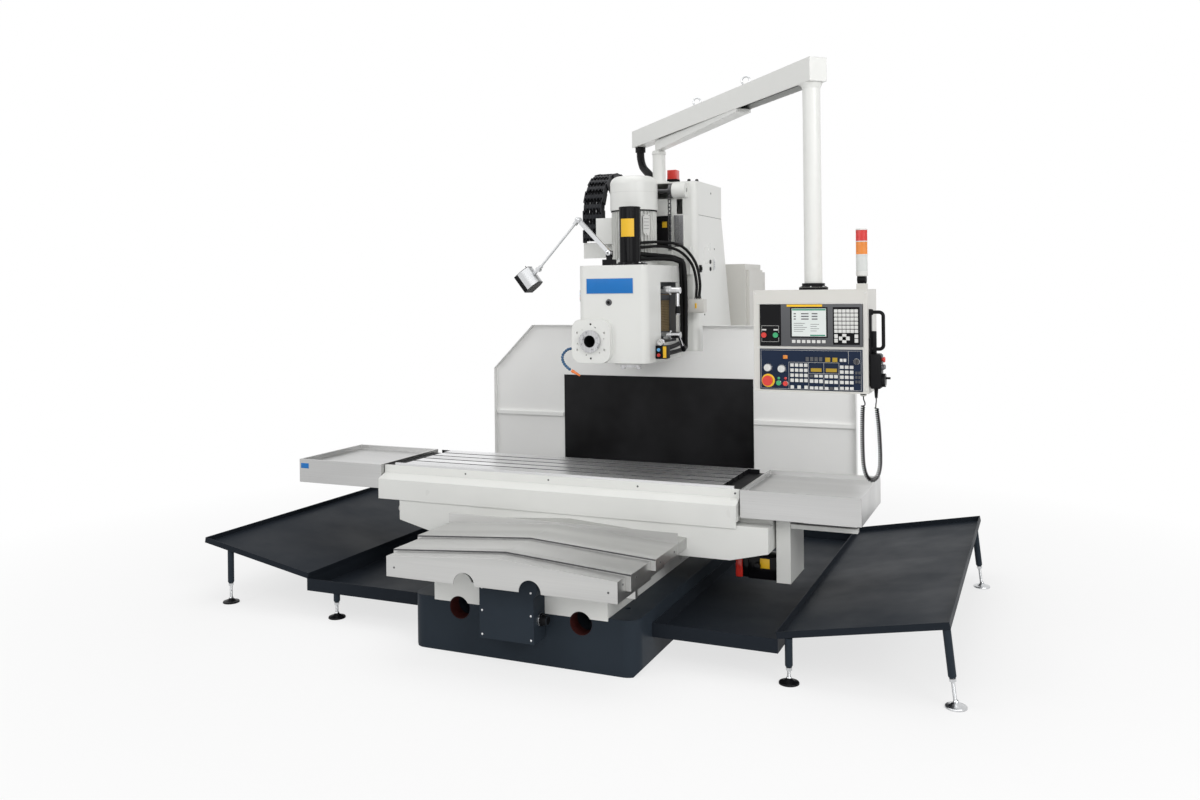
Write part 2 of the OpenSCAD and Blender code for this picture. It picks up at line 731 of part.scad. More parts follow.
module back_wall() color(white) {
    slot_x = column_w / 2 + 34;
    difference() {
        union() {
            along_y(wall_y, wall_y + sheet_t) wall_outline(0);
            // Edge folded forwards all round
            along_y(wall_y - wall_flange, wall_y) difference() {
                wall_outline(0);
                wall_outline(sheet_t);
                translate([-2000, wall_bottom - 1]) square([4000, 2]);
            }
            // Stiffening fold on each side of the curtain
            for (x = [[-wall_left + 6, -curtain_w / 2 - 4], [curtain_w / 2 + 4, wall_right - 6]])
                slab(x, [wall_y - 14, wall_y], [wall_fold_z - 12, wall_fold_z + 12]);
        }
        // Opening for the column ways and the slide
        slab([-slot_x, slot_x], [wall_y - wall_flange - 1, wall_y + sheet_t + 1], [z_way_bottom - 8, wall_top + 1]);
    }
    // Brackets to the column
    for (s = [-1, 1]) translate([s * (column_w / 2 - 20), 0, 0])
        slab([-20, 20], [wall_y + sheet_t, column_front], [700, z_way_bottom - 40]);
}

module rubber_curtain() color(black) {
    w = curtain_w / 2;
    slab([-w, w], [wall_y - 4, wall_y], [wall_bottom, curtain_top]);
}

// ---- electrical cabinet --------------------------------------------------

cabinet_w = 726;
cabinet_y = [1770, 2190];
cabinet_z = [150, 1890];
cabinet_t = 4;
door_y = [1812, 2166];
door_z = [260, 1850];
door_t = 20;
hinge_x = cabinet_w / 2 + gap + door_t / 2;
hinge_y = door_y[1] + 8 + gap;
hinge_z = [400, 1000, 1600];
hinge_pin_r = 3.5;
module electrical_cabinet() {
    hw = cabinet_w / 2;
    color(cream) {
        difference() {
            slab([-hw, hw], cabinet_y, cabinet_z);
            slab([-hw + cabinet_t, hw - cabinet_t], [cabinet_y[0] + cabinet_t, cabinet_y[1] - cabinet_t],
                [cabinet_z[0] + cabinet_t, cabinet_z[1] - cabinet_t]);
            // Door opening
            slab([hw - cabinet_t - 1, hw + 1], [door_y[0] + 16, door_y[1] - 16], [door_z[0] + 16, door_z[1] - 16]);
        }
        // Plinth down to the floor
        for (y = [cabinet_y[0] + 10, cabinet_y[1] - 60], s = [-1, 1])
            translate([s * (hw - 60), 0, 0]) slab([-50, 50], [y, y + 50], [0, cabinet_z[0]]);
        // Brackets to the column
        for (z = [400, 1200]) slab([-150, 150], [column_back_low, cabinet_y[0]], [z, z + 40]);
        // Hinge pins of the door
        for (z = hinge_z) {
            rod_z(z - 8, z + 88, hinge_x, hinge_y, hinge_pin_r);
            for (t = [z - 8, z + 80 + gap]) slab([hw - 1, hinge_x + 5], [hinge_y - 5, hinge_y + 5], [t, t + 8 - gap]);
        }
    }
    // Mounting plate with drives
    color("gainsboro") slab([-hw + 30, hw - 40], [cabinet_y[0] + cabinet_t, cabinet_y[0] + cabinet_t + 3],
        [cabinet_z[0] + 60, cabinet_z[1] - 60]);
    color("dimgray") for (i = [0 : 3], j = [0 : 2]) translate([-hw + 80 + i * 130, cabinet_y[0] + cabinet_t + 3, 0])
        slab([0, 90], [0, 130], [400 + j * 460, 720 + j * 460]);
    // Heat exchanger on the back
    color("lightgray") slab([150, 350], [cabinet_y[1], cabinet_y[1] + 178], [1100, 1838]);
}

module cabinet_door() color(cream) {
    x0 = cabinet_w / 2 + gap;
    difference() {
        slab([x0, x0 + door_t], door_y, door_z);
        slab([x0 - 1, x0 + door_t - 3], [door_y[0] + 3, door_y[1] - 3], [door_z[0] + 3, door_z[1] - 3]);
    }
    // Handle
    slab([x0 + door_t, x0 + door_t + 12], [door_y[0] + 18, door_y[0] + 36], [1000, 1140]);
    // Hinge knuckles
    for (z = hinge_z) difference() {
        union() {
            rod_z(z, z + 80, hinge_x, hinge_y, 7.5);
            slab([x0 + 3, x0 + 6], [door_y[1] - 1, door_y[1] + 5], [z, z + 80]);
        }
        rod_z(z - 1, z + 81, hinge_x, hinge_y, hinge_pin_r + 0.05);
    }
}

// ---- chip trays ----------------------------------------------------------

// Open pan with raised rims
module pan(w, l, h) difference() {
    cube([w, l, h]);
    translate([tray_t, tray_t, tray_t]) cube([w - 2 * tray_t, l - 2 * tray_t, h]);
}
// Outer pan, sloping up from its inner edge; low rims
wing_rim = 30;
module wing() rotate([0, -atan2(wing_rise, wing_w), 0]) pan(sqrt(wing_w * wing_w + wing_rise * wing_rise),
    tray_back + tray_front, wing_rim);

tray_inner_x = base_w / 2 + gap;
wing_z = tray_z + tray_rim - 0.4;
module chip_trays() color(iron_blue) {
    translate([-left_inner, -tray_front, tray_z]) pan(left_inner - tray_inner_x, tray_back + tray_front, tray_rim);
    translate([tray_inner_x, -tray_front, tray_z]) pan(right_inner - tray_inner_x, tray_back + tray_front, tray_rim);
    translate([right_inner - tray_t, -tray_front, wing_z]) wing();
    mirror([1, 0, 0]) translate([left_inner - tray_t, -tray_front, wing_z]) wing();
}

// Tube leg on a threaded rod and a foot, tipped about its top; tube_z is the tube's lower end
module leg(x, y, top, tube_z, lean = 0) {
    l = (top - tube_z) / cos(lean);
    translate([x, y, top]) rotate([0, -lean, 0]) {
        color(iron_blue) translate([0, 0, -l]) cylinder(h = l, r = leg_r);
        color(iron_blue) translate([0, 0, -l - 8]) cylinder(h = 8, r1 = leg_r - 5, r2 = leg_r);
        color("silver") translate([0, 0, -(top - 14) / cos(lean)]) cylinder(h = (tube_z - 14) / cos(lean), r = rod_r);
    }
    color("silver") translate([x + top * tan(lean), y, 0]) {
        cylinder(h = 8, r = foot_r);
        translate([0, 0, 8]) cylinder(h = 14, r1 = foot_r - 12, r2 = rod_r + 3);
    }
}
leg_in = 18;
leg_left_in = 170;
leg_inner_in = 47;
// Leg under an outer pan, at a distance from the pan's inner edge
module wing_leg(inner, side, d, y, lean) {
    slope = atan2(wing_rise, wing_w);
    top = wing_z + d * tan(slope) - leg_r * tan(slope - lean) - gap;
    leg(side * (inner - tray_t + d), y, top, top * 0.4, lean);
}
module tray_legs() for (y = [-tray_front + 20, tray_back - 255]) {
    wing_leg(right_inner, 1, wing_w - leg_in, y, leg_lean);
    wing_leg(right_inner, 1, leg_inner_in, y, 0);
    wing_leg(left_inner, -1, wing_w - leg_left_in, y, 0);
    leg(-left_inner + 180, y, tray_z, tray_z * 0.7);
}

// ---- head ----------------------------------------------------------------

head_x = [-head_w / 2 - 10, head_w / 2 - 10];
head_top = head_bottom + head_h;
head_back = head_front + head_d;
slide_z = [1400, 1985];
slide_hook_z = 1812;
slide_half = 250;
chain_hitch_y = 928;
nose_front = head_front - 38;
boss_half = 120;
recess_y = [head_front + 218, head_front + 528];
recess_z = [head_bottom + 104, head_bottom + 461];
recess_d = 60;
head_bore = nose_r - 2;
module head_casting() color(white) {
    way_x = z_way_span / 2;
    slide_y = column_front - z_way_d - slide_gap;
    difference() {
        union() {
            translate([0, 0, head_bottom]) linear_extrude(head_h)
                round_rect(head_x, [head_front, head_back], head_r);
            // Housing of the horizontal spindle
            along_y(nose_front, head_front + 60)
                round_rect([-horizontal_x - boss_half, -horizontal_x + boss_half],
                    [head_bottom, horizontal_z + boss_half + 6], 58);
            // Quill housing of the vertical spindle
            rod_z(head_bottom - 22, head_bottom + 1, 0, vertical_y, 96);
            // Slide on the column ways, with hooked gibs
            slab([-way_x - 14, way_x + 14], [head_back - 1, slide_y], [slide_z[0], head_top]);
            slab([-slide_half, slide_half], [chain_hitch_y, slide_y], [slide_hook_z, slide_z[1]]);
            for (s = [-1, 1]) translate([s * (way_x + 0.1 + slide_half) / 2, 0, 0])
                slab([-(slide_half - way_x - 0.1) / 2, (slide_half - way_x - 0.1) / 2],
                    [slide_y - 1, column_front - 1], [slide_hook_z, slide_z[1]]);
        }
        // Spindle bores
        rod_z(head_bottom - 23, head_bottom + 321, 0, vertical_y, head_bore + spindle_gap);
        rod_y(nose_front - 1, head_front + 321, -horizontal_x, horizontal_z, head_bore + spindle_gap);
        slab([head_x[1] - recess_d, head_x[1] + 1], recess_y, recess_z);
        // Bolt holes of the bearing cover
        for (a = [0 : 60 : 300]) rod_y(nose_front - 1, nose_front + 12,
            -horizontal_x + 98 * sin(a), horizontal_z + 98 * cos(a), 6);
        for (a = [20 : 60 : 320]) rod_y(nose_front - 1, nose_front + 8,
            -horizontal_x + 84 * sin(a), horizontal_z + 84 * cos(a), 3.5);
        // Sight glass seat
        rod_y(head_front - 1, head_front + 6, -30, head_top - 213, 15);
    }
    rod_y(head_front - 3, head_front + 7, -30, head_top - 213, 12);
    // Lugs that the lifting chains are pinned to
    for (s = [-1, 1]) translate([s * chain_x, 0, 0])
        slab([-14, 14], [sprocket_y - sprocket_r - 12, chain_hitch_y + 1], [chain_lug_z - 30, chain_lug_z - gap]);
    // Bracket of the drag chain
    slab([-222, -190], [loop_y - 4, loop_y + 4], [head_top - 1, chain_head_z - 9 - gap]);
    slab([link_x - 4, -200], [loop_y - 4, loop_y + 4], [chain_head_z - 108, chain_head_z - 9 - gap]);
    // Feet under the motor flange
    slab([-motor_x - 130, -motor_x + 130], [motor_y - 110, motor_y + 120], [head_top, head_top + 12]);
}

// Spindle pointing along -Z from the origin, which lies in its nose face
module spindle(shaft_l) {
    difference() {
        union() {
            cylinder(h = 16, r = nose_r);
            translate([0, 0, 15]) cylinder(h = shaft_l - 15, r = head_bore);
        }
        translate([0, 0, -0.01]) cylinder(h = taper_l, r1 = taper_r, r2 = taper_r - taper_l * 7 / 48);
        translate([0, 0, taper_l - 1]) cylinder(h = shaft_l, r = drawbar_r);
        for (a = [45 : 90 : 315]) rotate(a) translate([nose_pcd / 2, 0, -1]) cylinder(h = 13, r = nose_hole_r);
    }
    // Drive keys
    for (s = [-1, 1]) translate([s * 50 - 11, -12.7, -12]) cube([22, 25.4, 14]);
}
spindle_z = head_bottom - 22 - 18;
module horizontal_spindle() color(steel) translate([-horizontal_x, nose_front - 18, horizontal_z])
    rotate([-90, 0, 0]) rotate(25) spindle(320);
module vertical_spindle() color(steel) translate([0, vertical_y, spindle_z]) spindle(340);

module spindle_motor() {
    z0 = head_top + 12;
    color(white) {
        translate([-motor_x, motor_y, z0]) {
            cylinder(h = 26, r = motor_r + 4);
            translate([0, 0, 26]) cylinder(h = motor_h - 26, r = motor_r - 14);
            for (i = [0 : fin_n - 1]) rotate(i * 360 / fin_n) translate([motor_r - 16, -1.8, 26])
                cube([16, 3.6, motor_h - 30]);
            // Fan cowl with a rounded crown
            translate([0, 0, motor_h]) {
                cylinder(h = cowl_h - 50, r = cowl_r);
                translate([0, 0, cowl_h - 50]) rotate_extrude() intersection() {
                    square([cowl_r, 50]);
                    union() {
                        translate([cowl_r - 50, 0]) circle(50);
                        square([cowl_r - 50, 50]);
                    }
                }
            }
        }
        // Terminal box
        slab([-motor_x - motor_r - 86, -motor_x - motor_r + 20], [motor_y - 75, motor_y + 55],
            [head_top + 140, head_top + 300]);
    }
}

drawbar_cyl_r = 65;
module drawbar_cylinder() {
    z0 = head_top;
    color(black) {
        rod_z(z0, z0 + 22, 0, vertical_y, drawbar_cyl_r + 10);
        slab([-92, 92], [vertical_y - 60, vertical_y + 50], [z0, z0 + 14]);
        rod_z(z0 + 22, z0 + 350, 0, vertical_y, drawbar_cyl_r);
    }
    color("gold") translate([0, vertical_y, z0 + 150]) rotate_extrude(start = 245, angle = 60)
        translate([drawbar_cyl_r, 0]) square([1.5, 120]);
}

// Air unit: gauge, body and two knobs, facing forwards
module air_unit(x, y, z, w, h) {
    color(black) slab([x, x + w], [y, y + 60], [z, z + h]);
    color(black) rod_y(y + 4, y + 24, x + w * 0.42, z + h + 20, 20);
    color("white") rod_y(y + 1, y + 4, x + w * 0.42, z + h + 20, 17);
    color("steelblue") rod_y(y - 14, y, x + w * 0.3, z + h * 0.68, 11);
    color("lightpink") rod_y(y - 14, y, x + w * 0.3, z + h * 0.28, 11);
}
module air_units() {
    air_unit(head_x[1], head_front + 120, head_bottom + 20, 70, 76);
    air_unit(head_x[0] - 44, head_front + 120, head_top - 208, 44, 68);
    color("gold") slab([head_x[1] + 46, head_x[1] + 70], [head_front + 118, head_front + 120],
        [head_bottom + 26, head_bottom + 92]);
}

// Segmented coolant hose: a string of ball segments and a tapered nozzle
coolant_route = [[-268, 330, 1382], [-296, 326, 1381], [-318, 322, 1368], [-333, 318, 1348], [-336, 314, 1326],
    [-328, 310, 1304], [-312, 306, 1285], [-290, 302, 1268], [-268, 300, 1256]];
module coolant_hose() {
    color("steelblue") {
        rod_x(-horizontal_x - boss_half - 18, -horizontal_x - boss_half, 330, 1382, 12);
        for (p = coolant_route) translate(p) sphere(12, $fn = 20);
        for (i = [0 : len(coolant_route) - 2]) bar(coolant_route[i], coolant_route[i + 1], 8);
    }
    color("orangered") translate(coolant_route[8]) rotate([0, 118, -4]) cylinder(h = 58, r1 = 9, r2 = 5);
}

hose_r = 13;
module head_hoses() color(black) {
    x = head_x[1];
    hose([[33, vertical_y + 57, head_top + 40], [120, vertical_y + 176, head_top + 44],
        [x + 5, vertical_y + 250, head_top + 30],
        [x + 18, vertical_y + 278, head_top - 40], [x + 17, vertical_y + 284, head_top - 430],
        [x + 22, vertical_y + 220, head_top - 470], [x + 30, vertical_y - 78, head_top - 490]], hose_r);
    hose([[33, vertical_y + 57, head_top + 72], [120, vertical_y + 200, head_top + 62],
        [x, vertical_y + 262, head_top + 44],
        [x + 42, vertical_y + 274, head_top - 30], [x + 42, vertical_y + 278, head_top - 445],
        [x + 48, vertical_y + 226, head_top - 500], [x + 44, vertical_y - 78, head_top - 514]], hose_r);
}

// Shift lever pointing out of the head's side; hub axis along X
module shift_lever(y, z, angle) {
    x0 = head_x[1] - recess_d + gap;
    color(steel) {
        rod_x(x0, x0 + 96, y, z, 26);
        rod_x(x0 + 96, x0 + 157, y, z, 19);
        translate([x0 + 141, y, z]) rotate([angle, 0, 0]) cylinder(h = 88, r = 8);
    }
    color(black) translate([x0 + 141, y, z]) rotate([angle, 0, 0]) translate([0, 0, 88])
        cylinder(h = 52, r1 = 12, r2 = 15);
}
upper_lever = [recess_y[0] + 70, recess_z[1] - 50];
lower_lever = [recess_y[0] + 70, recess_z[0] + 46];
module upper_shift_lever() shift_lever(upper_lever[0], upper_lever[1], 178);
module lower_shift_lever() shift_lever(lower_lever[0], lower_lever[1], 228);

// ---- work lamp -----------------------------------------------------------

lamp_y = head_front + 52;
lamp_pivot = [-46, head_top + 72];
lamp_elbow = [-240, head_top + 270];
lamp_ball = [-505, head_top - 16];
module lamp_base() color(black) {
    slab([lamp_pivot[0] - 34, lamp_pivot[0] + 34], [lamp_y - 26, lamp_y + 26], [head_top, head_top + 34]);
    rod_z(head_top + 34, head_top + 50, lamp_pivot[0], lamp_y, 18);
    for (s = [-1, 1]) translate([0, s * 15, 0]) slab([lamp_pivot[0] - 14, lamp_pivot[0] + 14], [lamp_y - 4, lamp_y + 4],
        [head_top + 48, lamp_pivot[1] + 14]);
    rod_y(lamp_y - 24, lamp_y + 24, lamp_pivot[0], lamp_pivot[1], 5);
}
module flat_arm(p, q, y0, y1, w) {
    d = q - p;
    translate([p[0], 0, p[1]]) rotate([0, -atan2(d[1], d[0]), 0]) {
        difference() {
            union() {
                slab([0, norm(d)], [y0, y1], [-w / 2, w / 2]);
                for (x = [0, norm(d)]) rod_y(y0, y1, x, 0, w / 2 + 2);
            }
            for (x = [0, norm(d)]) rod_y(y0 - 1, y1 + 1, x, 0, 5.05);
        }
    }
}
module lamp_lower_arm() color("lightgray") {
    flat_arm(lamp_pivot, lamp_elbow, lamp_y - 10, lamp_y + 10, 24);
}
// Fork with its pin at the origin, opening towards -X
module fork(half, gap_half, r, l, floor_x, pin_r) {
    difference() {
        union() {
            rod_y(-half, half, 0, 0, r);
            slab([0, l], [-half, half], [-r / 2, r / 2]);
        }
        slab([-r - 1, floor_x], [-gap_half, gap_half], [-r - 1, r + 1]);
    }
    rod_y(-half - 3, half + 3, 0, 0, pin_r);
}
module lamp_upper_arm() color("lightgray") {
    l = norm(lamp_ball - lamp_elbow);
    d = (lamp_ball - lamp_elbow) / l;
    translate([lamp_elbow[0], lamp_y, lamp_elbow[1]]) rotate([0, -atan2(d[1], d[0]), 0]) {
        fork(17.5, 10.5, 16, 36, 20, 5);
        rod_x(30, l - 20, 0, 0, 7);
        translate([l, 0, 0]) rotate([0, 180, 0]) fork(15, 9, 14, 28, 15, 4);
    }
}
lamp_tilt = 142;
module lamp_head() {
    translate([lamp_ball[0], lamp_y, lamp_ball[1]]) rotate([0, lamp_tilt - 180, 0]) {
        color("gray") difference() {
            union() {
                rod_y(-8.7, 8.7, 0, 0, 13);
                slab([-34, 0], [-8, 8], [-7, 7]);
            }
            rod_y(-10, 10, 0, 0, 4.05);
        }
        // Rectangular housing with chamfered back and a framed window
        color("silver") translate([-34, 0, 0]) along_y(-48, 48) difference() {
            polygon([[0, -26], [0, 30], [-34, 50], [-104, 50], [-104, -66], [-34, -66]]);
            polygon([[-42, 44], [-105, 44], [-105, -60], [-42, -60]]);
        }
        for (s = [-1, 1]) color("silver") translate([-34, s * 48, 0]) along_y(-2, 2)
            polygon([[0, -26], [0, 30], [-34, 50], [-104, 50], [-104, -66], [-34, -66]]);
        color("white") translate([-34, 0, 0]) slab([-100, -96], [-46.5, 46.5], [-60, 44]);
    }
}

// ---- hoses and chains that flex ------------------------------------------

box_hose_y = column_front - 82;
box_hose_x = [299, 319];
module column_hoses() color(black) {
    y = box_hose_y;
    hose([[36, vertical_y + 61, head_top + 110], [130, 740, head_top + 118], [212, 830, head_top + 92],
        [box_hose_x[0] - 24, y - 8, head_top + 10], [box_hose_x[0] + 2, y, head_top - 100],
        [box_hose_x[0], y, 1690], [box_hose_x[0], y, 1668]], 9);
    hose([[36, vertical_y + 61, head_top + 138], [140, 750, head_top + 144], [232, 834, head_top + 118],
        [box_hose_x[1] - 22, y - 4, head_top + 20], [box_hose_x[1] + 4, y, head_top - 100],
        [box_hose_x[1], y, 1690], [box_hose_x[1], y, 1668]], 9);
}
// Stands in front of the slide's travel, on a plate bolted to the column's side
module junction_box() {
    y = [column_front - 114, column_front - 52];
    color(cream) {
        slab([240, 356], y, [1582, 1660]);
        slab([244, 352], [y[0] + 4, y[1] - 4], [1576, 1583]);
        slab([column_w / 2, column_w / 2 + 5], [y[1] - 1, column_front + 74], [1590, 1650]);
    }
    color("gold") slab([302, 310], [y[0] - 2, y[0]], [1606, 1634]);
    for (x = box_hose_x) color(black) rod_z(1660, 1668, x, box_hose_y, 11);
}

// Drag chain from the head, over a loop, to the side of the column
link_n = 24;
link_w = 134;
link_x = -column_w / 2 - 10 - link_w;
loop_r = 262;
loop_y = 846;
loop_z = 2195;
chain_fix_z = 1700;
chain_head_z = 2032;
link_t = 52;
plate_t = 6;
link_pin_r = 5;
// Place [y, z, tilt] of the point at distance s along the chain
loop_arc = PI * loop_r;
head_run = loop_z - chain_head_z;
function on_loop(s) = let (a = (s - head_run) / loop_r * 180 / PI)
    s < head_run ? [loop_y, chain_head_z + s, 0]
    : s > head_run + loop_arc ? [loop_y + 2 * loop_r, loop_z - (s - head_run - loop_arc), 180]
    : [loop_y + loop_r - loop_r * cos(a), loop_z + loop_r * sin(a), a];
module drag_chain() color(black) {
    total = head_run + loop_arc + loop_z - chain_fix_z;
    h = total / link_n;
    for (i = [0 : link_n - 1]) {
        p = on_loop((i + 0.5) * h);
        // Every other link sits inside its neighbours
        inset = i % 2 == 0 ? 0 : plate_t + gap;
        translate([link_x, p[0], p[1]]) rotate([-p[2], 0, 0]) {
            for (x = [inset, link_w - inset - plate_t]) translate([x, -link_t / 2, -h / 2 - 9])
                cube([plate_t, link_t, h + 18]);
            for (e = [-1, 1]) translate([inset + plate_t - 1, e * (link_t / 2 - 5) - 3, -13])
                cube([link_w - 2 * (inset + plate_t - 1), 6, 26]);
        }
    }
    // Hinge pins of the links
    for (i = [1 : link_n - 1]) {
        p = on_loop(i * h);
        for (x = [link_x + 1, link_x + link_w - 2 * plate_t]) rod_x(x, x + 2 * plate_t - 1, p[0], p[1], link_pin_r);
    }
}

module cable_conduit() color(black) {
    // From the boom's tail down to the column top
    tail = [-(boom_tail - 40) * sin(boom_angle), pivot_y + (boom_tail - 40) * cos(boom_angle)];
    z0 = column_top + top_cover_h;
    rod_z(boom_z - 34, boom_z, tail[0], tail[1], 34);
    foot = [-78, 1190];
    hose([[tail[0], tail[1], boom_z - 34], [tail[0] + 4, tail[1] - 4, boom_z - 80],
        [tail[0] + 30, tail[1] - 28, boom_z - 140], [foot[0] - 44, foot[1] + 40, boom_z - 200],
        [foot[0] - 6, foot[1] + 5, z0 + 40], [foot[0], foot[1], z0 + 14]], 26);
    rod_z(z0, z0 + 22, foot[0], foot[1], 36);
}

// ---- boom and control panel ----------------------------------------------

// Puts children in the boom's own frame: +X along the boom from the pivot
module at_boom() translate([0, pivot_y, 0]) rotate(boom_angle - 90) children();
pole_x = boom_reach * sin(boom_angle);
pole_y = pivot_y - boom_reach * cos(boom_angle);
boom_head = 62;
neck_r = 24;
spigot_r = 25;
gusset_l = 1200;

module boom_beam() color(white) at_boom() {
    difference() {
        slab([-boom_tail, boom_reach + boom_head], [-boom_w / 2, boom_w / 2], [boom_z, boom_z + boom_h]);
        slab([60, boom_reach - 60], [-boom_w / 2 + boom_wall, boom_w / 2 - boom_wall], [boom_z - 1, boom_z + boom_h - boom_wall]);
        slab([-boom_tail + boom_wall, -60], [-boom_w / 2 + boom_wall, boom_w / 2 - boom_wall],
            [boom_z + 6, boom_z + boom_h - boom_wall]);
    }
    // Neck that turns in the post, with its gusset
    rod_z(post_top - 120, boom_z + 1, 0, 0, neck_r);
    rod_z(post_top, post_top + 8, 0, 0, post_r);
    intersection() {
        along_y(-boom_w / 2, boom_w / 2) polygon([[18, post_top + 8], [18, boom_z + 1], [gusset_l, boom_z + 1],
            [gusset_l, boom_z - 17]]);
        translate([0, 0, post_top]) linear_extrude(boom_h)
            polygon([[10, -neck_r], [10, neck_r], [gusset_l, boom_w / 2 - 2], [gusset_l, -boom_w / 2 + 2]]);
    }
    // Lifting eyes
    for (x = [600, 1230]) {
        rod_z(boom_z + boom_h - 1, boom_z + boom_h + 12, x, 0, 12);
        translate([x, 0, boom_z + boom_h + 33]) rotate([90, 0, 45]) rotate_extrude() translate([22, 0])
            circle(5, $fn = 16);
    }
}

module hanging_pole() {
    top = panel_z + panel_h;
    color(white) {
        rod_z(top + 30 + gap, boom_z - 26, pole_x, pole_y, pole_r);
        rod_z(top + 4, top + 31, pole_x, pole_y, spigot_r);
        translate([pole_x, pole_y, boom_z - 26]) cylinder(h = 26, r1 = pole_r, r2 = pole_r + 12);
    }
}

box_x = pole_x - 248;
box_y = pole_y - 144;
module panel_box() {
    color(cream) difference() {
        slab([box_x, box_x + panel_w], [box_y, box_y + panel_d], [panel_z, panel_z + panel_h]);
        // Seats of the display and the operator panel
        slab([box_x + display_x[0], box_x + display_x[1]], [box_y - 1, box_y + 10], display_z);
        slab([box_x + operator_x[0], box_x + operator_x[1]], [box_y - 1, box_y + 36], operator_z);
        slab([box_x + display_x[0], box_x + display_x[0] + power_w], [box_y - 1, box_y + 36], display_z);
    }
    // Swivel flange that carries the box on the pole
    color(black) difference() {
        union() {
            rod_z(panel_z + panel_h, panel_z + panel_h + 12, pole_x, pole_y, 66);
            rod_z(panel_z + panel_h + 12, panel_z + panel_h + 30, pole_x, pole_y, 52);
        }
        rod_z(panel_z + panel_h + 3, panel_z + panel_h + 31, pole_x, pole_y, spigot_r + 0.05);
    }
    // Gland of the curly cord
    rod_z(1240, panel_z, side_x - 30, box_y + 46, 13);
    // Stub of the signal tower
    color(white) slab([tower_x - 22, tower_x + 22], [tower_y - 22, tower_y + 22], [panel_z + panel_h, panel_z + panel_h + 26]);
}

display_x = [30, 496];
display_z = [1461, 1651];
operator_x = [28, 492];
operator_z = [1262, 1448];
power_w = 102;
button_gap = 0.05;
stem_r = 9;
power_stem_r = 8;
// Button and knob places on the panel: across from the box edge, and height
power_off_at = [50, 1511];
power_on_at = [104, 1511];
stop_at = [67, 1303];
start_at = [116, 1293];
hold_at = [147, 1291];
feed_at = [67, 1362];
speed_at = [131, 1358];
key_at = [466, 1396];

module display_unit() {
    color([0.35, 0.36, 0.38]) difference() {
        slab([box_x + display_x[0] + power_w, box_x + display_x[1]], [box_y - 6, box_y + 10], display_z);
        slab([box_x + 178, box_x + 338], [box_y - 7, box_y - 2], [1502, 1632]);
        slab([box_x + 364, box_x + 470], [box_y - 7, box_y - 3], [1484, 1630]);
        for (i = [0 : 6]) translate([i * 24, 0, 0]) slab([box_x + 178, box_x + 194], [box_y - 7, box_y - 3], [1478, 1492]);
    }
    // Screen, soft keys and key field
    color("whitesmoke") slab([box_x + 180, box_x + 336], [box_y - 3, box_y - 2], [1504, 1630]);
    color("white") for (i = [0 : 6]) translate([i * 24, 0, 0]) slab([box_x + 179, box_x + 193], [box_y - 8, box_y - 3], [1479, 1491]);
    color("white") for (i = [0 : 5], j = [0 : 7]) translate([i * 17.4, 0, j * 17.8])
        slab([box_x + 367, box_x + 381], [box_y - 6, box_y - 3], [1487, 1501]);
    // Black power panel beside it, open behind its buttons
    color(black) difference() {
        slab([box_x + display_x[0], box_x + display_x[0] + power_w - gap], [box_y - 4, box_y + 10], display_z);
        for (p = [power_off_at, power_on_at]) rod_y(box_y - 5, box_y + 11, box_x + p[0], p[1], power_stem_r + button_gap);
    }
}

// Operator panel with its key field
key_w = 15;
module key_block(x, z, cols, rows) for (i = [0 : cols - 1], j = [0 : rows - 1])
    translate([i * (key_w + 3), 0, j * (key_w + 3.5)])
        slab([box_x + x, box_x + x + key_w], [box_y - 6, box_y - 3], [z, z + key_w]);

module operator_panel() {
    color([0.10, 0.14, 0.25]) difference() {
        slab([box_x + operator_x[0], box_x + operator_x[1]], [box_y - 4, box_y + 8], operator_z);
        for (p = [stop_at, start_at, hold_at, feed_at, speed_at, key_at])
            rod_y(box_y - 5, box_y + 9, box_x + p[0], p[1], stem_r + button_gap);
    }
    color("white") {
        key_block(172, 1274, 4, 5);
        key_block(262, 1274, 4, 3);
        key_block(326, 1274, 4, 3);
        key_block(392, 1274, 3, 7);
        key_block(250, 1396, 4, 1);
    }
    color("gold") key_block(330, 1396, 2, 1);
    color("gold") for (x = [268, 338]) slab([box_x + x, box_x + x + 52], [box_y - 5, box_y - 4], [1346, 1364]);
    color("orange") slab([box_x + 142, box_x + 158], [box_y - 8, box_y - 4], [1398, 1412]);
    color("gold") difference() {
        rod_y(box_y - 6, box_y - 4, box_x + stop_at[0], stop_at[1], 30);
        rod_y(box_y - 7, box_y - 3, box_x + stop_at[0], stop_at[1], stem_r + button_gap);
    }
}

// Push button: a cap on a stem that runs in its hole
module button(at, cap_r, cap_l, r, rise, tone) color(tone) {
    rod_y(box_y - rise - cap_l, box_y - rise, box_x + at[0], at[1], cap_r);
    rod_y(box_y - rise - 1, box_y + 20, box_x + at[0], at[1], r);
}
module power_off_button() button(power_off_at, 12, 5, power_stem_r, 8, "red");
module power_on_button() button(power_on_at, 12, 5, power_stem_r, 8, "green");
module stop_button() button(stop_at, 23, 14, stem_r, 11, "red");
module start_button() button(start_at, 11, 5, stem_r, 8, "green");
module hold_button() button(hold_at, 11, 5, stem_r, 8, "red");
module knob(at) color("whitesmoke") {
    rod_y(box_y - 22, box_y - 4 - gap, box_x + at[0], at[1], 16);
    rod_y(box_y - 6, box_y + 14, box_x + at[0], at[1], stem_r);
    slab([box_x + at[0] - 3, box_x + at[0] + 3], [box_y - 26, box_y - 21], [at[1] - 14, at[1] + 14]);
}
module feed_knob() knob(feed_at);
module speed_knob() knob(speed_at);
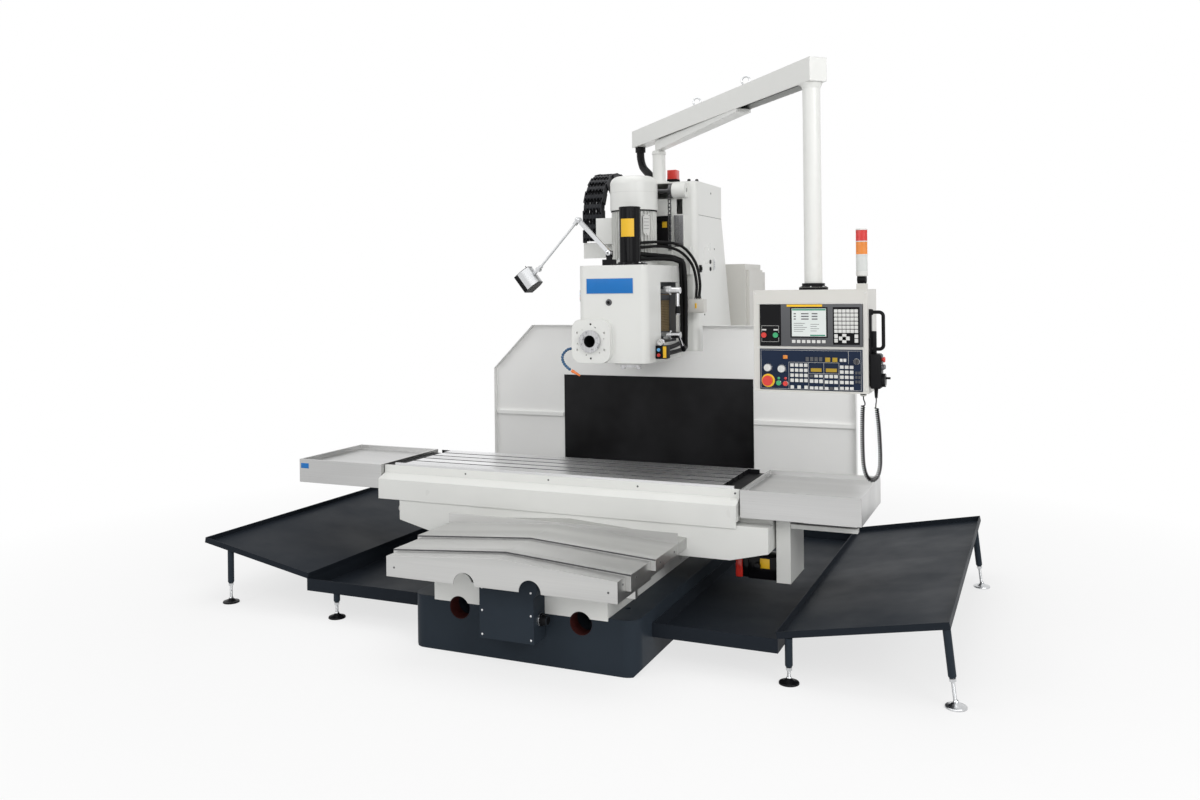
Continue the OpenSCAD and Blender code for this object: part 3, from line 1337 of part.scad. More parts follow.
module key_switch() color("silver") {
    rod_y(box_y - 9, box_y - 4 - gap, box_x + key_at[0], key_at[1], 13);
    rod_y(box_y - 6, box_y + 14, box_x + key_at[0], key_at[1], stem_r);
    slab([box_x + key_at[0] - 1.5, box_x + key_at[0] + 1.5], [box_y - 34, box_y - 8], [key_at[1] - 10, key_at[1] + 10]);
}

tower_x = box_x + 478;
tower_y = box_y + 92;
tower_r = 26;
module signal_tower() {
    z0 = panel_z + panel_h + 26;
    color(black) rod_x(tower_x - 20, tower_x + 20, tower_y, z0 + 18, 18);
    color(white) rod_z(z0 + 34, z0 + 56, tower_x, tower_y, tower_r);
    color("whitesmoke") rod_z(z0 + 56, z0 + 130, tower_x, tower_y, tower_r - 1);
    color("orange") rod_z(z0 + 130, z0 + 190, tower_x, tower_y, tower_r - 1);
    color("red") rod_z(z0 + 190, z0 + 242, tower_x, tower_y, tower_r - 1);
    color(white) rod_z(z0 + 242, z0 + 248, tower_x, tower_y, tower_r - 4);
}

// Hand pendant on the side of the panel, with the grab handle above it
side_x = box_x + panel_w;
handle_z = [1458, 1640];
pendant_z = [1275, 1430];
pendant_y = [box_y + 8, box_y + 84];
dial_at = [box_y + 46, 1312];
module pendant() color(black) {
    // Grab handle
    for (z = handle_z) rod_x(side_x, side_x + 60, box_y + 46, z, 8);
    rod_z(handle_z[0] - 8, handle_z[1] + 8, side_x + 60, box_y + 46, 8);
    slab([side_x, side_x + 10], [box_y + 30, box_y + 62], [1410, 1660]);
    // Hanger plate and housing
    slab([side_x, side_x + 8], pendant_y, [1420, 1500]);
    difference() {
        slab([side_x + 4, side_x + 52], pendant_y, pendant_z);
        rod_x(side_x + 40, side_x + 53, dial_at[0], dial_at[1], 6 + button_gap);
    }
    slab([side_x, side_x + 6], [box_y + 20, box_y + 70], [1290, 1400]);
    for (y = [box_y + 28, box_y + 62]) rod_x(side_x + 52, side_x + 66, y, 1370, 11);
    // Strain relief under the housing
    translate([side_x + 26, box_y + 46, pendant_z[0] - 44]) cylinder(h = 44, r1 = 6, r2 = 10);
}
module pendant_dial() color("dimgray") {
    rod_x(side_x + 53, side_x + 68, dial_at[0], dial_at[1], 30);
    rod_x(side_x + 42, side_x + 54, dial_at[0], dial_at[1], 6);
    rod_x(side_x + 67, side_x + 86, dial_at[0] + 18, dial_at[1] + 8, 5);
}

// Curly cord: route points on the hanging loop, relative to the panel's side and front
cord_r = 10;
cord_route = [[-30, 46, 1240], [-30, 46, 1215], [-34, 46, 1175], [-36, 46, 1120], [-37, 46, 1050], [-36, 46, 980],
    [-32, 46, 925], [-22, 46, 888], [-6, 46, 868], [12, 46, 868], [28, 46, 888], [38, 46, 925],
    [40, 46, 980], [38, 46, 1050], [34, 46, 1120], [28, 46, 1180], [26, 46, 1210], [26, 46, 1231]];
module curly_cord() color(black)
    hose([for (p = cord_route) p + [side_x, box_y, 0]], cord_r, [0, 1, 0], 10);

base_casting();
way_end_plate();
y_servo_cover();
column_casting();
column_top_cover();
boom_post();
z_servo_motor();
back_wall();
rubber_curtain();
electrical_cabinet();
cabinet_door();
chip_trays();
tray_legs();
way_cover_front();
way_cover_mid();
way_cover_rear();
junction_box();
cable_conduit();
column_hoses();
drag_chain();
lift_chain();
chain_sprockets();
counterweight();
saddle_casting();
x_servo_motor();
x_drive_cover();
table();
apron();
end_trays();
head_casting();
spindle_motor();
drawbar_cylinder();
air_units();
coolant_hose();
head_hoses();
horizontal_spindle();
vertical_spindle();
upper_shift_lever();
lower_shift_lever();
lamp_base();
lamp_lower_arm();
lamp_upper_arm();
lamp_head();
boom_beam();
hanging_pole();
panel_box();
display_unit();
operator_panel();
power_off_button();
power_on_button();
stop_button();
start_button();
hold_button();
feed_knob();
speed_knob();
key_switch();
pendant();
pendant_dial();
curly_cord();
signal_tower();
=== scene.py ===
from functools import partial
from math import atan2, copysign, cos, degrees, pi, radians, sin, tan

import bmesh
import bpy
from mathutils import Matrix, Vector


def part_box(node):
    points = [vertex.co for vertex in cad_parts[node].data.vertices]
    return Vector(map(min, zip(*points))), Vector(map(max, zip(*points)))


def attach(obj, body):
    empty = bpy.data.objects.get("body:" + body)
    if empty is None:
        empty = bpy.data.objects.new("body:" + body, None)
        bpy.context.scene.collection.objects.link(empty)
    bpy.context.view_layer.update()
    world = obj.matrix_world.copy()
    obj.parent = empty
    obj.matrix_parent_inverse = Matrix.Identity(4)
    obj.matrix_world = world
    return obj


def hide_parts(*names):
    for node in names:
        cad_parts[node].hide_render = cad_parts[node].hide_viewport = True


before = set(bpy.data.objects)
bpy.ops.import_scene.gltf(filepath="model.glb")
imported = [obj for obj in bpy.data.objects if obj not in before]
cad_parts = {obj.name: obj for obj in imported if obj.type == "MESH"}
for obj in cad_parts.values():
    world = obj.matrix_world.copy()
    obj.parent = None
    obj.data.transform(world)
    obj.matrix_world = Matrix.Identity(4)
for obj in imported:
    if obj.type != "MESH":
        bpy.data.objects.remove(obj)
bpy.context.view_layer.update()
scene = bpy.context.scene
scene.view_settings.view_transform = "Standard"


def new_object(name, data):
    obj = bpy.data.objects.new(name, data)
    scene.collection.objects.link(obj)
    return obj


# ---- camera ----

TURN = radians(23.6)
ROLL = radians(-0.65)
forward = Vector((-sin(TURN), cos(TURN), 0))
level_right = Vector((cos(TURN), sin(TURN), 0))
level_up = Vector((0, 0, 1))
cam_x = level_right * cos(ROLL) + level_up * sin(ROLL)
cam_y = -level_right * sin(ROLL) + level_up * cos(ROLL)
cam_data = bpy.data.cameras.new("camera")
cam_data.lens = 30.68
cam_data.sensor_width = 36
cam_data.shift_y = -0.0933
cam_data.clip_end = 200
camera = new_object("camera", cam_data)
turn = Matrix((cam_x, cam_y, -forward)).transposed().to_4x4()
camera.matrix_world = Matrix.Translation((2.268, -5.084, 1.735)) @ turn
scene.camera = camera

# ---- curly cord of the pendant ----

MM = 0.001
# The panel's left, front and right sides, in millimetres
box_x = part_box("panel_box")[0][0] / MM
box_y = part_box("panel_box")[0][1] / MM
side_x = box_x + 516


def spline(points, n=8):
    """Smooth curve through points, n steps from one to the next."""
    pts = [Vector(p) for p in points]
    out = []
    for i in range(len(pts) - 1):
        a, b, c, d = pts[max(i - 1, 0)], pts[i], pts[i + 1], pts[min(i + 2, len(pts) - 1)]
        for k in range(n):
            t = k / n
            out.append(0.5 * (2 * b + (c - a) * t + (2 * a - 5 * b + 4 * c - d) * t ** 2
                              + (3 * b - a - 3 * c + d) * t ** 3))
    out.append(pts[-1])
    return out


def evenly(points, step):
    """The same curve with its points a step apart."""
    out = [points[0]]
    left = step
    for a, b in zip(points, points[1:]):
        length = (b - a).length
        at = left
        while at <= length:
            out.append(a.lerp(b, at / length))
            at += step
        left = at - length
    if (out[-1] - points[-1]).length > step / 4:
        out.append(points[-1])
    return out


def smoothstep(t):
    t = min(1.0, max(0.0, t))
    return t * t * (3 - 2 * t)


# From the gland under the panel, down, round the bend and up to the strain relief
CORD_Y = 46
CORD_ROUTE = [(-30, 1240), (-30, 1215), (-34, 1175), (-36, 1120), (-37, 1050), (-36, 980), (-32, 925), (-22, 888),
              (-6, 868), (12, 868), (28, 888), (38, 925), (40, 980), (38, 1050), (34, 1120), (28, 1180), (26, 1210),
              (26, 1231)]
CORD_STEP = 0.35
COIL_R = 7.5
COIL_TURN = 0.70  # radians for each millimetre along the route
WIRE = 0.0054  # diameter, in metres


def curly(route):
    """Helix around a route, straight at both ends."""
    line = evenly(spline([(side_x + x, box_y + CORD_Y, z) for x, z in route], 40), CORD_STEP)
    total = CORD_STEP * (len(line) - 1)
    out = []
    angle = 0
    normal = Vector((1, 0, 0))
    for i, p in enumerate(line):
        s = i * CORD_STEP
        away = (line[min(i + 1, len(line) - 1)] - line[max(i - 1, 0)]).normalized()
        normal = (normal - away * normal.dot(away)).normalized()
        r = COIL_R * smoothstep((min(s, total - s) - 12) / 24)
        angle += COIL_TURN * CORD_STEP * smoothstep((s - 36) / 14) * smoothstep((total - 36 - s) / 14)
        out.append((p + normal * (r * cos(angle)) + away.cross(normal) * (r * sin(angle))) * MM)
    return out


wire = curly(CORD_ROUTE)
cord_data = bpy.data.curves.new("curly_wire", "CURVE")
cord_data.dimensions = "3D"
cord_data.bevel_depth = 1
cord_data.bevel_resolution = 2
strand = cord_data.splines.new("POLY")
strand.points.add(len(wire) - 1)
for point, p in zip(strand.points, wire):
    point.co = (*p, 1)
    point.radius = WIRE / 2
curly_wire = new_object("curly_wire", cord_data)
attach(curly_wire, "panel")
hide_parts("curly_cord")

# ---- solids, in millimetres ----

HERE = Matrix.Identity(4)
MID = (0, 0)
AXES = {"x": Matrix.Rotation(pi / 2, 4, "Y"), "y": Matrix.Rotation(-pi / 2, 4, "X"), "z": HERE}


def shift(x=0, y=0, z=0):
    return Matrix.Translation((x, y, z))


def spin(angle, axis):
    return Matrix.Rotation(radians(angle), 4, axis)


def about(centre, half):
    """Limits at the same distance on both sides of a centre."""
    return centre - half, centre + half


def around(n, r, first=0, last=None):
    """Points on a circle, n to the turn or n steps from one angle to another, in degrees."""
    step = (360 if last is None else last - first) / n
    turns = [radians(first + step * i) for i in range(n if last is None else n + 1)]
    return [(r * cos(t), r * sin(t)) for t in turns]


def arc(x, z, r, first, last, n=6):
    return [(x + dx, z + dz) for dx, dz in around(n, r, first, last)]


def grid(xs, ys):
    return [(x, y) for x in xs for y in ys]


def stud(r, face, foot, slope, drop, bore=0):
    """Profile of a round head or rim with a sloped edge, from its face to its foot."""
    edge = face + drop if foot > face else face - drop
    return [(bore, face), (r - slope, face), (r, edge), (r, foot), (bore, foot)]


def where(axis, along, across):
    """Point at a distance along an axis; across gives the other two coordinates."""
    a, b = across
    return {"x": (along, a, b), "y": (a, along, b), "z": (a, b, along)}[axis]


def bent(edge, angle):
    return len(edge.link_faces) == 2 and edge.calc_face_angle(0) > radians(angle)


ROUNDED = 30  # degrees between faces whose edge is rounded
SMOOTH = 35  # degrees between faces that are shaded as one


class Shape:
    """Solids gathered for one piece; at is the frame that they are given in."""

    def __init__(self, at=HERE):
        self.bm = bmesh.new()
        self.at = at

    def _join(self, part, place, rounding=0, steps=2):
        if rounding:
            sharp = [e for e in part.edges if bent(e, ROUNDED)]
            bmesh.ops.bevel(
                part, geom=sharp, offset=rounding, segments=steps, profile=0.5, affect="EDGES", clamp_overlap=True)
        part.transform(self.at @ place)
        bmesh.ops.recalc_face_normals(part, faces=part.faces)
        mesh = bpy.data.meshes.new("part")
        part.to_mesh(mesh)
        part.free()
        self.bm.from_mesh(mesh)
        bpy.data.meshes.remove(mesh)
        return self

    def box(self, x, y, z, rounding=0, steps=2, place=HERE):
        part = bmesh.new()
        size = Matrix.Diagonal((x[1] - x[0], y[1] - y[0], z[1] - z[0], 1))
        bmesh.ops.create_cube(part, size=1, matrix=shift(sum(x) / 2, sum(y) / 2, sum(z) / 2) @ size)
        return self._join(part, place, rounding, steps)

    def boxes(self, *limits):
        for box in limits:
            self.box(*box)
        return self

    def rod(self, axis, a, b, centre, r, n=32, rounding=0):
        """Round bar along an axis from a to b; centre gives the other two coordinates."""
        part = bmesh.new()
        bmesh.ops.create_cone(part, cap_ends=True, segments=n, radius1=r, radius2=r, depth=b - a)
        return self._join(part, shift(*where(axis, (a + b) / 2, centre)) @ AXES[axis], rounding)

    def lathe(self, axis, centre, profile, n=48, start=0, end=360, place=HERE):
        """Turns (radius, place along the axis) points about the axis; the outline is closed by itself."""
        part = bmesh.new()
        whole = end - start >= 360
        count = n if whole else n + 1
        turns = [radians(start + (end - start) * i / n) for i in range(count)]
        rings = [[part.verts.new((r * cos(t), r * sin(t), h)) for r, h in profile] for t in turns]
        for i in range(n):
            a, b = rings[i], rings[(i + 1) % count]
            for j in range(len(profile)):
                k = (j + 1) % len(profile)
                part.faces.new((a[j], a[k], b[k], b[j]))
        if not whole:
            part.faces.new(rings[0])
            part.faces.new(rings[-1][::-1])
        bmesh.ops.remove_doubles(part, verts=part.verts, dist=0.001)
        bmesh.ops.dissolve_degenerate(part, edges=part.edges, dist=0.001)
        return self._join(part, place @ shift(*where(axis, 0, centre)) @ AXES[axis])

    def lathes(self, axis, centres, profile, n=48):
        for centre in centres:
            self.lathe(axis, centre, profile, n)
        return self

    def prism(self, axis, a, b, outline, rounding=0):
        """Outline in the other two coordinates, drawn out along an axis."""
        part = bmesh.new()
        ends = [[part.verts.new(where(axis, h, p)) for p in outline] for h in (a, b)]
        for i in range(len(outline)):
            j = (i + 1) % len(outline)
            part.faces.new((ends[0][i], ends[0][j], ends[1][j], ends[1][i]))
        part.faces.new(ends[0])
        part.faces.new(ends[1])
        return self._join(part, HERE, rounding)

    def tube(self, path, radius, sides=16, closed=False, place=HERE):
        """Tube along a list of points; radius is a number or one for each point."""
        pts = [Vector(p) for p in path]
        part = bmesh.new()
        turns = [2 * pi * j / sides for j in range(sides)]
        rings = []
        normal = None
        for i, p in enumerate(pts):
            if closed:
                away = (pts[(i + 1) % len(pts)] - pts[i - 1]).normalized()
            else:
                away = (pts[min(i + 1, len(pts) - 1)] - pts[max(i - 1, 0)]).normalized()
            normal = away.orthogonal() if normal is None else normal
            normal = (normal - away * normal.dot(away)).normalized()
            r = radius[i] if isinstance(radius, (list, tuple)) else radius
            rings.append([part.verts.new(p + (normal * cos(t) + away.cross(normal) * sin(t)) * r) for t in turns])
        pairs = list(zip(rings, rings[1:])) + ([(rings[-1], rings[0])] if closed else [])
        for a, b in pairs:
            for j in range(sides):
                k = (j + 1) % sides
                part.faces.new((a[j], a[k], b[k], b[j]))
        if not closed:
            part.faces.new(rings[0][::-1])
            part.faces.new(rings[-1])
        return self._join(part, place)


def piece(body, name, look, shape, *replaces):
    """Makes a shape into a piece of the scene, in metres."""
    bm = shape.bm
    bm.transform(Matrix.Scale(MM, 4))
    for f in bm.faces:
        f.smooth = True
    for e in bm.edges:
        e.smooth = not bent(e, SMOOTH)
    mesh = bpy.data.meshes.new(name)
    bm.to_mesh(mesh)
    bm.free()
    mesh.materials.append(LOOKS[look][0])
    obj = new_object(name, mesh)
    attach(obj, body)
    if replaces:
        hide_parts(*replaces)


fixed = partial(piece, "machine")
on_head = partial(piece, "head")
on_panel = partial(piece, "panel")


# ---- materials ----

class Nodes:
    """Short way to build the node tree of a material or a world."""

    def __init__(self, data, output="OutputMaterial"):
        data.use_nodes = True
        self.mat = data
        self.tree = data.node_tree
        self.tree.nodes.clear()
        self.out = self.add(output)

    def add(self, kind, **values):
        node = self.tree.nodes.new("ShaderNode" + kind)
        for key, value in values.items():
            if key.startswith("_"):
                setattr(node, key[1:], value)
            else:
                node.inputs[key.replace("__", " ")].default_value = value
        return node

    def link(self, a, b):
        self.tree.links.new(a, b)

    def math(self, operation, a, b):
        node = self.add("Math", _operation=operation)
        self.link(a, node.inputs[0])
        self.link(b, node.inputs[1])
        return node.outputs[0]

    def show(self, share, a, b):
        """Sends a mix of two shaders to the output."""
        mix = self.add("MixShader")
        self.link(share, mix.inputs[0])
        self.link(a.outputs[0], mix.inputs[1])
        self.link(b.outputs[0], mix.inputs[2])
        self.link(mix.outputs[0], self.out.inputs[0])

    def principled(self, **values):
        bsdf = self.add("BsdfPrincipled", **values)
        self.link(bsdf.outputs[0], self.out.inputs[0])
        return bsdf

    def coords(self, scale=(1, 1, 1)):
        """Places on the object in metres, scaled."""
        coord = self.add("TexCoord")
        mapping = self.add("Mapping", Scale=scale)
        self.link(coord.outputs["Object"], mapping.inputs[0])
        return mapping.outputs[0]

    def noise(self, vector, scale, detail=3.0, rough=0.55):
        node = self.add("TexNoise", Scale=scale, Detail=detail, Roughness=rough)
        self.link(vector, node.inputs["Vector"])
        return node.outputs[0]

    def ramp(self, value, low, high, low_at=0.3, high_at=0.7):
        node = self.add("ValToRGB")
        for element, at, colour in zip(node.color_ramp.elements, (low_at, high_at), (low, high)):
            element.position = at
            element.color = [min(1.0, max(0.0, c)) for c in colour] + [1]
        self.link(value, node.inputs[0])
        return node.outputs[0]

    def span(self, value, low, high, low_at=0.3, high_at=0.7):
        node = self.add("MapRange")
        for key, v in {"From Min": low_at, "From Max": high_at, "To Min": low, "To Max": high}.items():
            node.inputs[key].default_value = v
        self.link(value, node.inputs["Value"])
        return node.outputs[0]

    def relief(self, bsdf, height, strength, edge=0.0):
        """Grain on the surface, and edges that catch the light as if rounded by a radius."""
        bump = self.add("Bump", Strength=strength, Distance=0.001)
        self.link(height, bump.inputs["Height"])
        if edge:
            soft = self.add("Bevel", _samples=4, Radius=edge)
            self.link(soft.outputs[0], bump.inputs["Normal"])
        self.link(bump.outputs[0], bsdf.inputs["Normal"])


def shades(colour, tone):
    """The colour made darker and lighter by a share."""
    return [c * (1 - tone) for c in colour], [c * (1 + tone) for c in colour]


def surface(colour, rough=0.4, tone=0.03, metallic=0.0, coat=0.0, cloud=3.0, vary=0.08, bump=0.04, grain=120.0,
            edge=0.0, spec=0.5):
    """Painted, plastic or metal surface: its tone, gloss and grain vary a little over the part."""
    n = Nodes(bpy.data.materials.new("look"))
    bsdf = n.principled(Metallic=metallic, Coat__Weight=coat, Coat__Roughness=0.12, Specular__IOR__Level=spec)
    place = n.coords()
    patches = n.noise(place, cloud)
    n.link(n.ramp(patches, *shades(colour, tone)), bsdf.inputs["Base Color"])
    n.link(n.span(patches, max(0.02, rough - vary), rough + vary), bsdf.inputs["Roughness"])
    n.relief(bsdf, n.noise(place, grain, 4.0, 0.6), bump, edge)
    return n.mat


def brushed(colour, rough, along, streak, bands, band_scale, edge=0.0):
    """Ground or brushed steel: fine streaks along one axis, and soft wide bands that run the same way."""
    n = Nodes(bpy.data.materials.new("look"))
    bsdf = n.principled(Metallic=1.0)
    fine = n.noise(n.coords([1.2 if axis == along else 160 for axis in "xyz"]), 1.6, 6.0, 0.65)
    wide = n.noise(n.coords([band_scale / 12 if axis == along else band_scale for axis in "xyz"]), 1.0, 1.5, 0.4)
    mix = n.add("Mix", _data_type="RGBA", _blend_type="MULTIPLY", Factor=1.0)
    n.link(n.ramp(fine, *shades(colour, streak), 0.35, 0.65), mix.inputs["A"])
    n.link(n.ramp(wide, [1 - 2 * bands] * 3, [1] * 3, 0.35, 0.65), mix.inputs["B"])
    n.link(mix.outputs["Result"], bsdf.inputs["Base Color"])
    n.link(n.span(fine, rough * 0.8, rough * 1.25), bsdf.inputs["Roughness"])
    n.relief(bsdf, fine, 0.05, edge)
    return n.mat


def lens(colour, rough=0.15):
    """Clear coloured plastic that lets some light through."""
    n = Nodes(bpy.data.materials.new("look"))
    bsdf = n.principled(Roughness=rough, Transmission__Weight=0.25, Coat__Weight=0.5)
    place = n.coords()
    n.link(n.ramp(n.noise(place, 30), [c * 0.93 for c in colour], colour), bsdf.inputs["Base Color"])
    n.relief(bsdf, n.noise(place, 200), 0.05)
    return n.mat


LOOKS = {}


def looks(slot, **materials):
    """Looks that use one slot of the record."""
    for name, material in materials.items():
        material.name = name
        LOOKS[name] = material, slot


looks("white_paint",
      white=surface((0.74, 0.745, 0.72), 0.34, 0.015, coat=0.2, bump=0.05, grain=60, edge=0.003),
      # wall: partly its own sheet-metal paint, partly made lighter as painted light for the brighter light on the back
      # wall
      wall=surface((0.88, 0.88, 0.865), 0.4, 0.012, bump=0.03, grain=80, edge=0.002))
looks("cream_paint", cream=surface((0.62, 0.61, 0.575), 0.42, 0.02, coat=0.1, bump=0.1, grain=220, edge=0.002))
looks("blue_paint",
      slate=surface((0.025, 0.033, 0.043), 0.4, 0.06, bump=0.06, grain=150, edge=0.002, spec=0.05),
      pan=surface((0.016, 0.02, 0.026), 0.45, 0.06, bump=0.06, grain=150, edge=0.002, spec=0.04))
looks("black_paint",
      black=surface((0.004, 0.004, 0.005), 0.16, 0.1, bump=0.02, spec=0.14),
      dark=surface((0.007, 0.007, 0.008), 0.5, 0.1, bump=0.05, spec=0.08))
looks("rubber",
      curtain=surface((0.012, 0.012, 0.013), 0.42, 0.7, cloud=2.2, vary=0.1, grain=40, spec=0.1),
      rubber=surface((0.005, 0.005, 0.0055), 0.4, 0.15, bump=0.1, grain=200, spec=0.12))
looks("black_plastic",
      plastic=surface((0.006, 0.006, 0.007), 0.38, 0.1, bump=0.06, grain=300, edge=0.001, spec=0.12),
      chain=surface((0.01, 0.011, 0.014), 0.38, 0.15, bump=0.06, grain=300, edge=0.0015, spec=0.25))
looks("grey_plastic", grey=surface((0.072, 0.074, 0.08), 0.45, 0.05, bump=0.06, grain=400))
looks("light_plastic",
      light=surface((0.66, 0.66, 0.64), grain=300),
      screen=surface((0.7, 0.74, 0.72), 0.2, coat=0.2, cloud=8, bump=0.01),
      clear_lens=lens((0.8, 0.82, 0.8), 0.25))
looks("red_plastic", red=surface((0.62, 0.03, 0.02), 0.28, 0.05, coat=0.3), red_lens=lens((0.8, 0.02, 0.015)))
looks("green_plastic",
      green=surface((0.03, 0.36, 0.14), 0.28, 0.05, coat=0.3),
      leaf=surface((0.03, 0.26, 0.16), 0.25, 0.05, coat=0.3))
looks("orange_plastic",
      orange=surface((0.85, 0.2, 0.03), 0.3, 0.05, coat=0.3),
      yellow=surface((0.85, 0.5, 0.015), 0.4, 0.04),
      amber=surface((0.4, 0.26, 0.012), 0.4, 0.06),
      orange_lens=lens((0.95, 0.3, 0.02)))
looks("blue_plastic",
      blue=surface((0.01, 0.085, 0.2), 0.3, 0.08, coat=0.3),
      knob_blue=surface((0.12, 0.4, 0.72), 0.3, 0.05, coat=0.3),
      plate_blue=surface((0.01, 0.165, 0.5), 0.35, cloud=12, spec=0.3))
looks("dark_blue_plastic", navy=surface((0.012, 0.021, 0.046), 0.42, 0.06, bump=0.05, grain=300, spec=0.12))
looks("cast_iron",
      primer=surface((0.055, 0.008, 0.006), 0.6, 0.2, cloud=30),
      iron=surface((0.22, 0.22, 0.23), 0.5, 0.1, metallic=0.7, bump=0.15, grain=90))
looks("dark_steel",
      brass=surface((0.42, 0.31, 0.16), 0.38, 0.15, metallic=0.7, cloud=20),
      dark_steel=surface((0.1, 0.1, 0.105), 0.38, 0.15, metallic=0.8, cloud=40))
looks("ground_steel",
      table=brushed((0.8, 0.8, 0.81), 0.28, "x", 0.05, 0.1, 9, 0.0015),
      cover=brushed((0.57, 0.57, 0.56), 0.36, "x", 0.04, 0.09, 7, 0.002),
      tray=brushed((0.6, 0.6, 0.595), 0.34, "x", 0.04, 0.09, 5, 0.0015),
      steel=brushed((0.55, 0.55, 0.56), 0.26, "z", 0.08, 0.05, 8),
      way=brushed((0.4, 0.4, 0.41), 0.22, "z", 0.08, 0.12, 6))
looks("chrome",
      chrome=surface((0.72, 0.72, 0.74), 0.12, 0.02, metallic=1.0, bump=0.01),
      zinc=surface((0.58, 0.59, 0.6), 0.28, 0.08, metallic=1.0, cloud=25))
looks("aluminium", alu=surface((0.62, 0.63, 0.64), 0.33, 0.04, metallic=0.85, edge=0.001))
cord_data.materials.append(LOOKS["rubber"][0])

NODE_LOOK = {
    "white": "column_casting column_top_cover boom_post saddle_casting x_drive_cover apron "
             "head_casting spindle_motor boom_beam hanging_pole way_end_plate",
    "wall": "back_wall",
    "cream": "electrical_cabinet cabinet_door panel_box junction_box",
    "slate": "base_casting y_servo_cover",
    "pan": "chip_trays",
    "curtain": "rubber_curtain",
    "rubber": "cable_conduit column_hoses head_hoses",
    "plastic": "lamp_base pendant_dial",
    "chain": "drag_chain",
    "cover": "way_cover_front way_cover_mid way_cover_rear",
    "tray": "end_trays",
    "table": "table",
    "steel": "horizontal_spindle vertical_spindle",
    "dark_steel": "lift_chain chain_sprockets key_switch",
    "iron": "counterweight",
    "chrome": "upper_shift_lever lower_shift_lever",
    "alu": "lamp_lower_arm lamp_upper_arm",
    "light": "feed_knob speed_knob",
    "red": "power_off_button stop_button hold_button",
    "green": "power_on_button start_button",
}
for look, names in NODE_LOOK.items():
    for name in names.split():
        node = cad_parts[name]
        for s in node.material_slots:
            s.material = LOOKS[look][0]
        if not node.material_slots:
            node.data.materials.append(LOOKS[look][0])

# ---- head ----

HEAD_FRONT = 300
NOSE = (-130, 1430)
front = shift(0, HEAD_FRONT)
on_head("name_plate_edge", "light", Shape(front).box((-171, 123), (-2.5, 0), (1700, 1792), 0.8))
on_head("name_plate", "plate_blue", Shape(front).box((-168, 120), (-3.6, -2), (1703, 1789), 0.6))
SIGHT = (-30, 1652)
on_head("sight_ring", "dark_steel", Shape(front).lathe(
    "y", SIGHT, [(9, -4), (9, -7), (11, -9), (15, -8), (17, -3), (19, -2), (19, 0), (9, 0)]))
on_head("sight_glass", "black", Shape(front).lathe(
    "y", SIGHT, [(0, -7), (5, -6.6), (9.3, -5), (9.3, -1), (0, -1)]))

# Dark insides of the two tapers, and the bolts round the nose
TAPER = [(34.4, 1.5), (20.2, 100), (0, 100), (0, 98.5), (19.6, 98.5), (33.9, 1.5)]
piece("horizontal_spindle", "horizontal_taper_shade", "dark", Shape(shift(0, 244)).lathe("y", NOSE, TAPER))
piece("vertical_spindle", "vertical_taper_shade", "dark", Shape(shift(0, 0, 1265)).lathe("z", (0, 560), TAPER))
bolts = Shape(shift(NOSE[0], 0, NOSE[1]))
for circle, first, r in ((98, 0, 8), (84, 22.5, 4.6)):
    bolts.lathes("y", around(8, circle, first), [
        (0, 263.5), (r * 0.5, 263.5), (r * 0.5, 262.4), (r * 0.9, 262.4), (r, 263.2), (r, 268), (0, 268)], 20)
on_head("spindle_cap_bolts", "plastic", bolts)

# Grips and hubs of the shift levers
LEVER_X = 145.3
for name, hub, angle in (("upper_lever", (588, 1716), 178), ("lower_lever", (588, 1455), 228)):
    piece(name, name + "_grip", "plastic", Shape(shift(LEVER_X + 141, *hub) @ spin(angle, "X")).lathe(
        "z", MID, [(0, 86), (8.4, 86), (11, 88), (12.4, 92), (14, 110), (15.4, 130), (15.2, 137), (12, 141), (6, 143),
                   (0, 143.4)]))
    piece(name, name + "_hub", "zinc", Shape(shift(LEVER_X)).lathe(
        "x", hub, [(0, 159), (5, 159), (8, 157.6), (12, 157.4), (19.2, 155), (19.2, 152), (0, 152)]).lathe(
        "x", hub, [(19, 100), (26.4, 97), (26.4, 93), (19, 93)]))

# Side recess: painted shade on its back and walls, and a wire mesh
RECESS_Y = (518.5, 827.5)
RECESS_Z = (1409.5, 1765.5)
SHADE_SHEET = 1.2
on_head("recess_painted_shade", "grey", Shape().boxes(
    ((145.1, 146.6), RECESS_Y, RECESS_Z), ((146, 190), (RECESS_Y[1] - SHADE_SHEET, RECESS_Y[1]), RECESS_Z),
    ((146, 190), RECESS_Y, (RECESS_Z[1] - SHADE_SHEET, RECESS_Z[1])),
    ((146, 190), RECESS_Y, (RECESS_Z[0], RECESS_Z[0] + SHADE_SHEET))))
MESH_Y = (620, 820)
MESH_Z = (1425, 1660)
MESH_PITCH = 10
MESH_BAR = 4  # half width of the mesh's frame
MESH_OUT_Y, MESH_OUT_Z = [(a - MESH_BAR, b + MESH_BAR) for a, b in (MESH_Y, MESH_Z)]
wires, bars = Shape(), Shape()
for y in range(MESH_Y[0], MESH_Y[1] + 1, MESH_PITCH):
    wires.box((148, 149.6), about(y, 1.6), MESH_Z)
for z in range(MESH_Z[0], MESH_Z[1] + 1, MESH_PITCH):
    wires.box((149, 150.6), MESH_Y, about(z, 1.6))
for y in MESH_Y:
    bars.box((147, 152), about(y, MESH_BAR), MESH_OUT_Z, 0.8)
for z in MESH_Z:
    bars.box((147, 152), MESH_OUT_Y, about(z, MESH_BAR), 0.8)
on_head("recess_mesh", "brass", wires)
on_head("recess_mesh_frame", "dark_steel", bars)

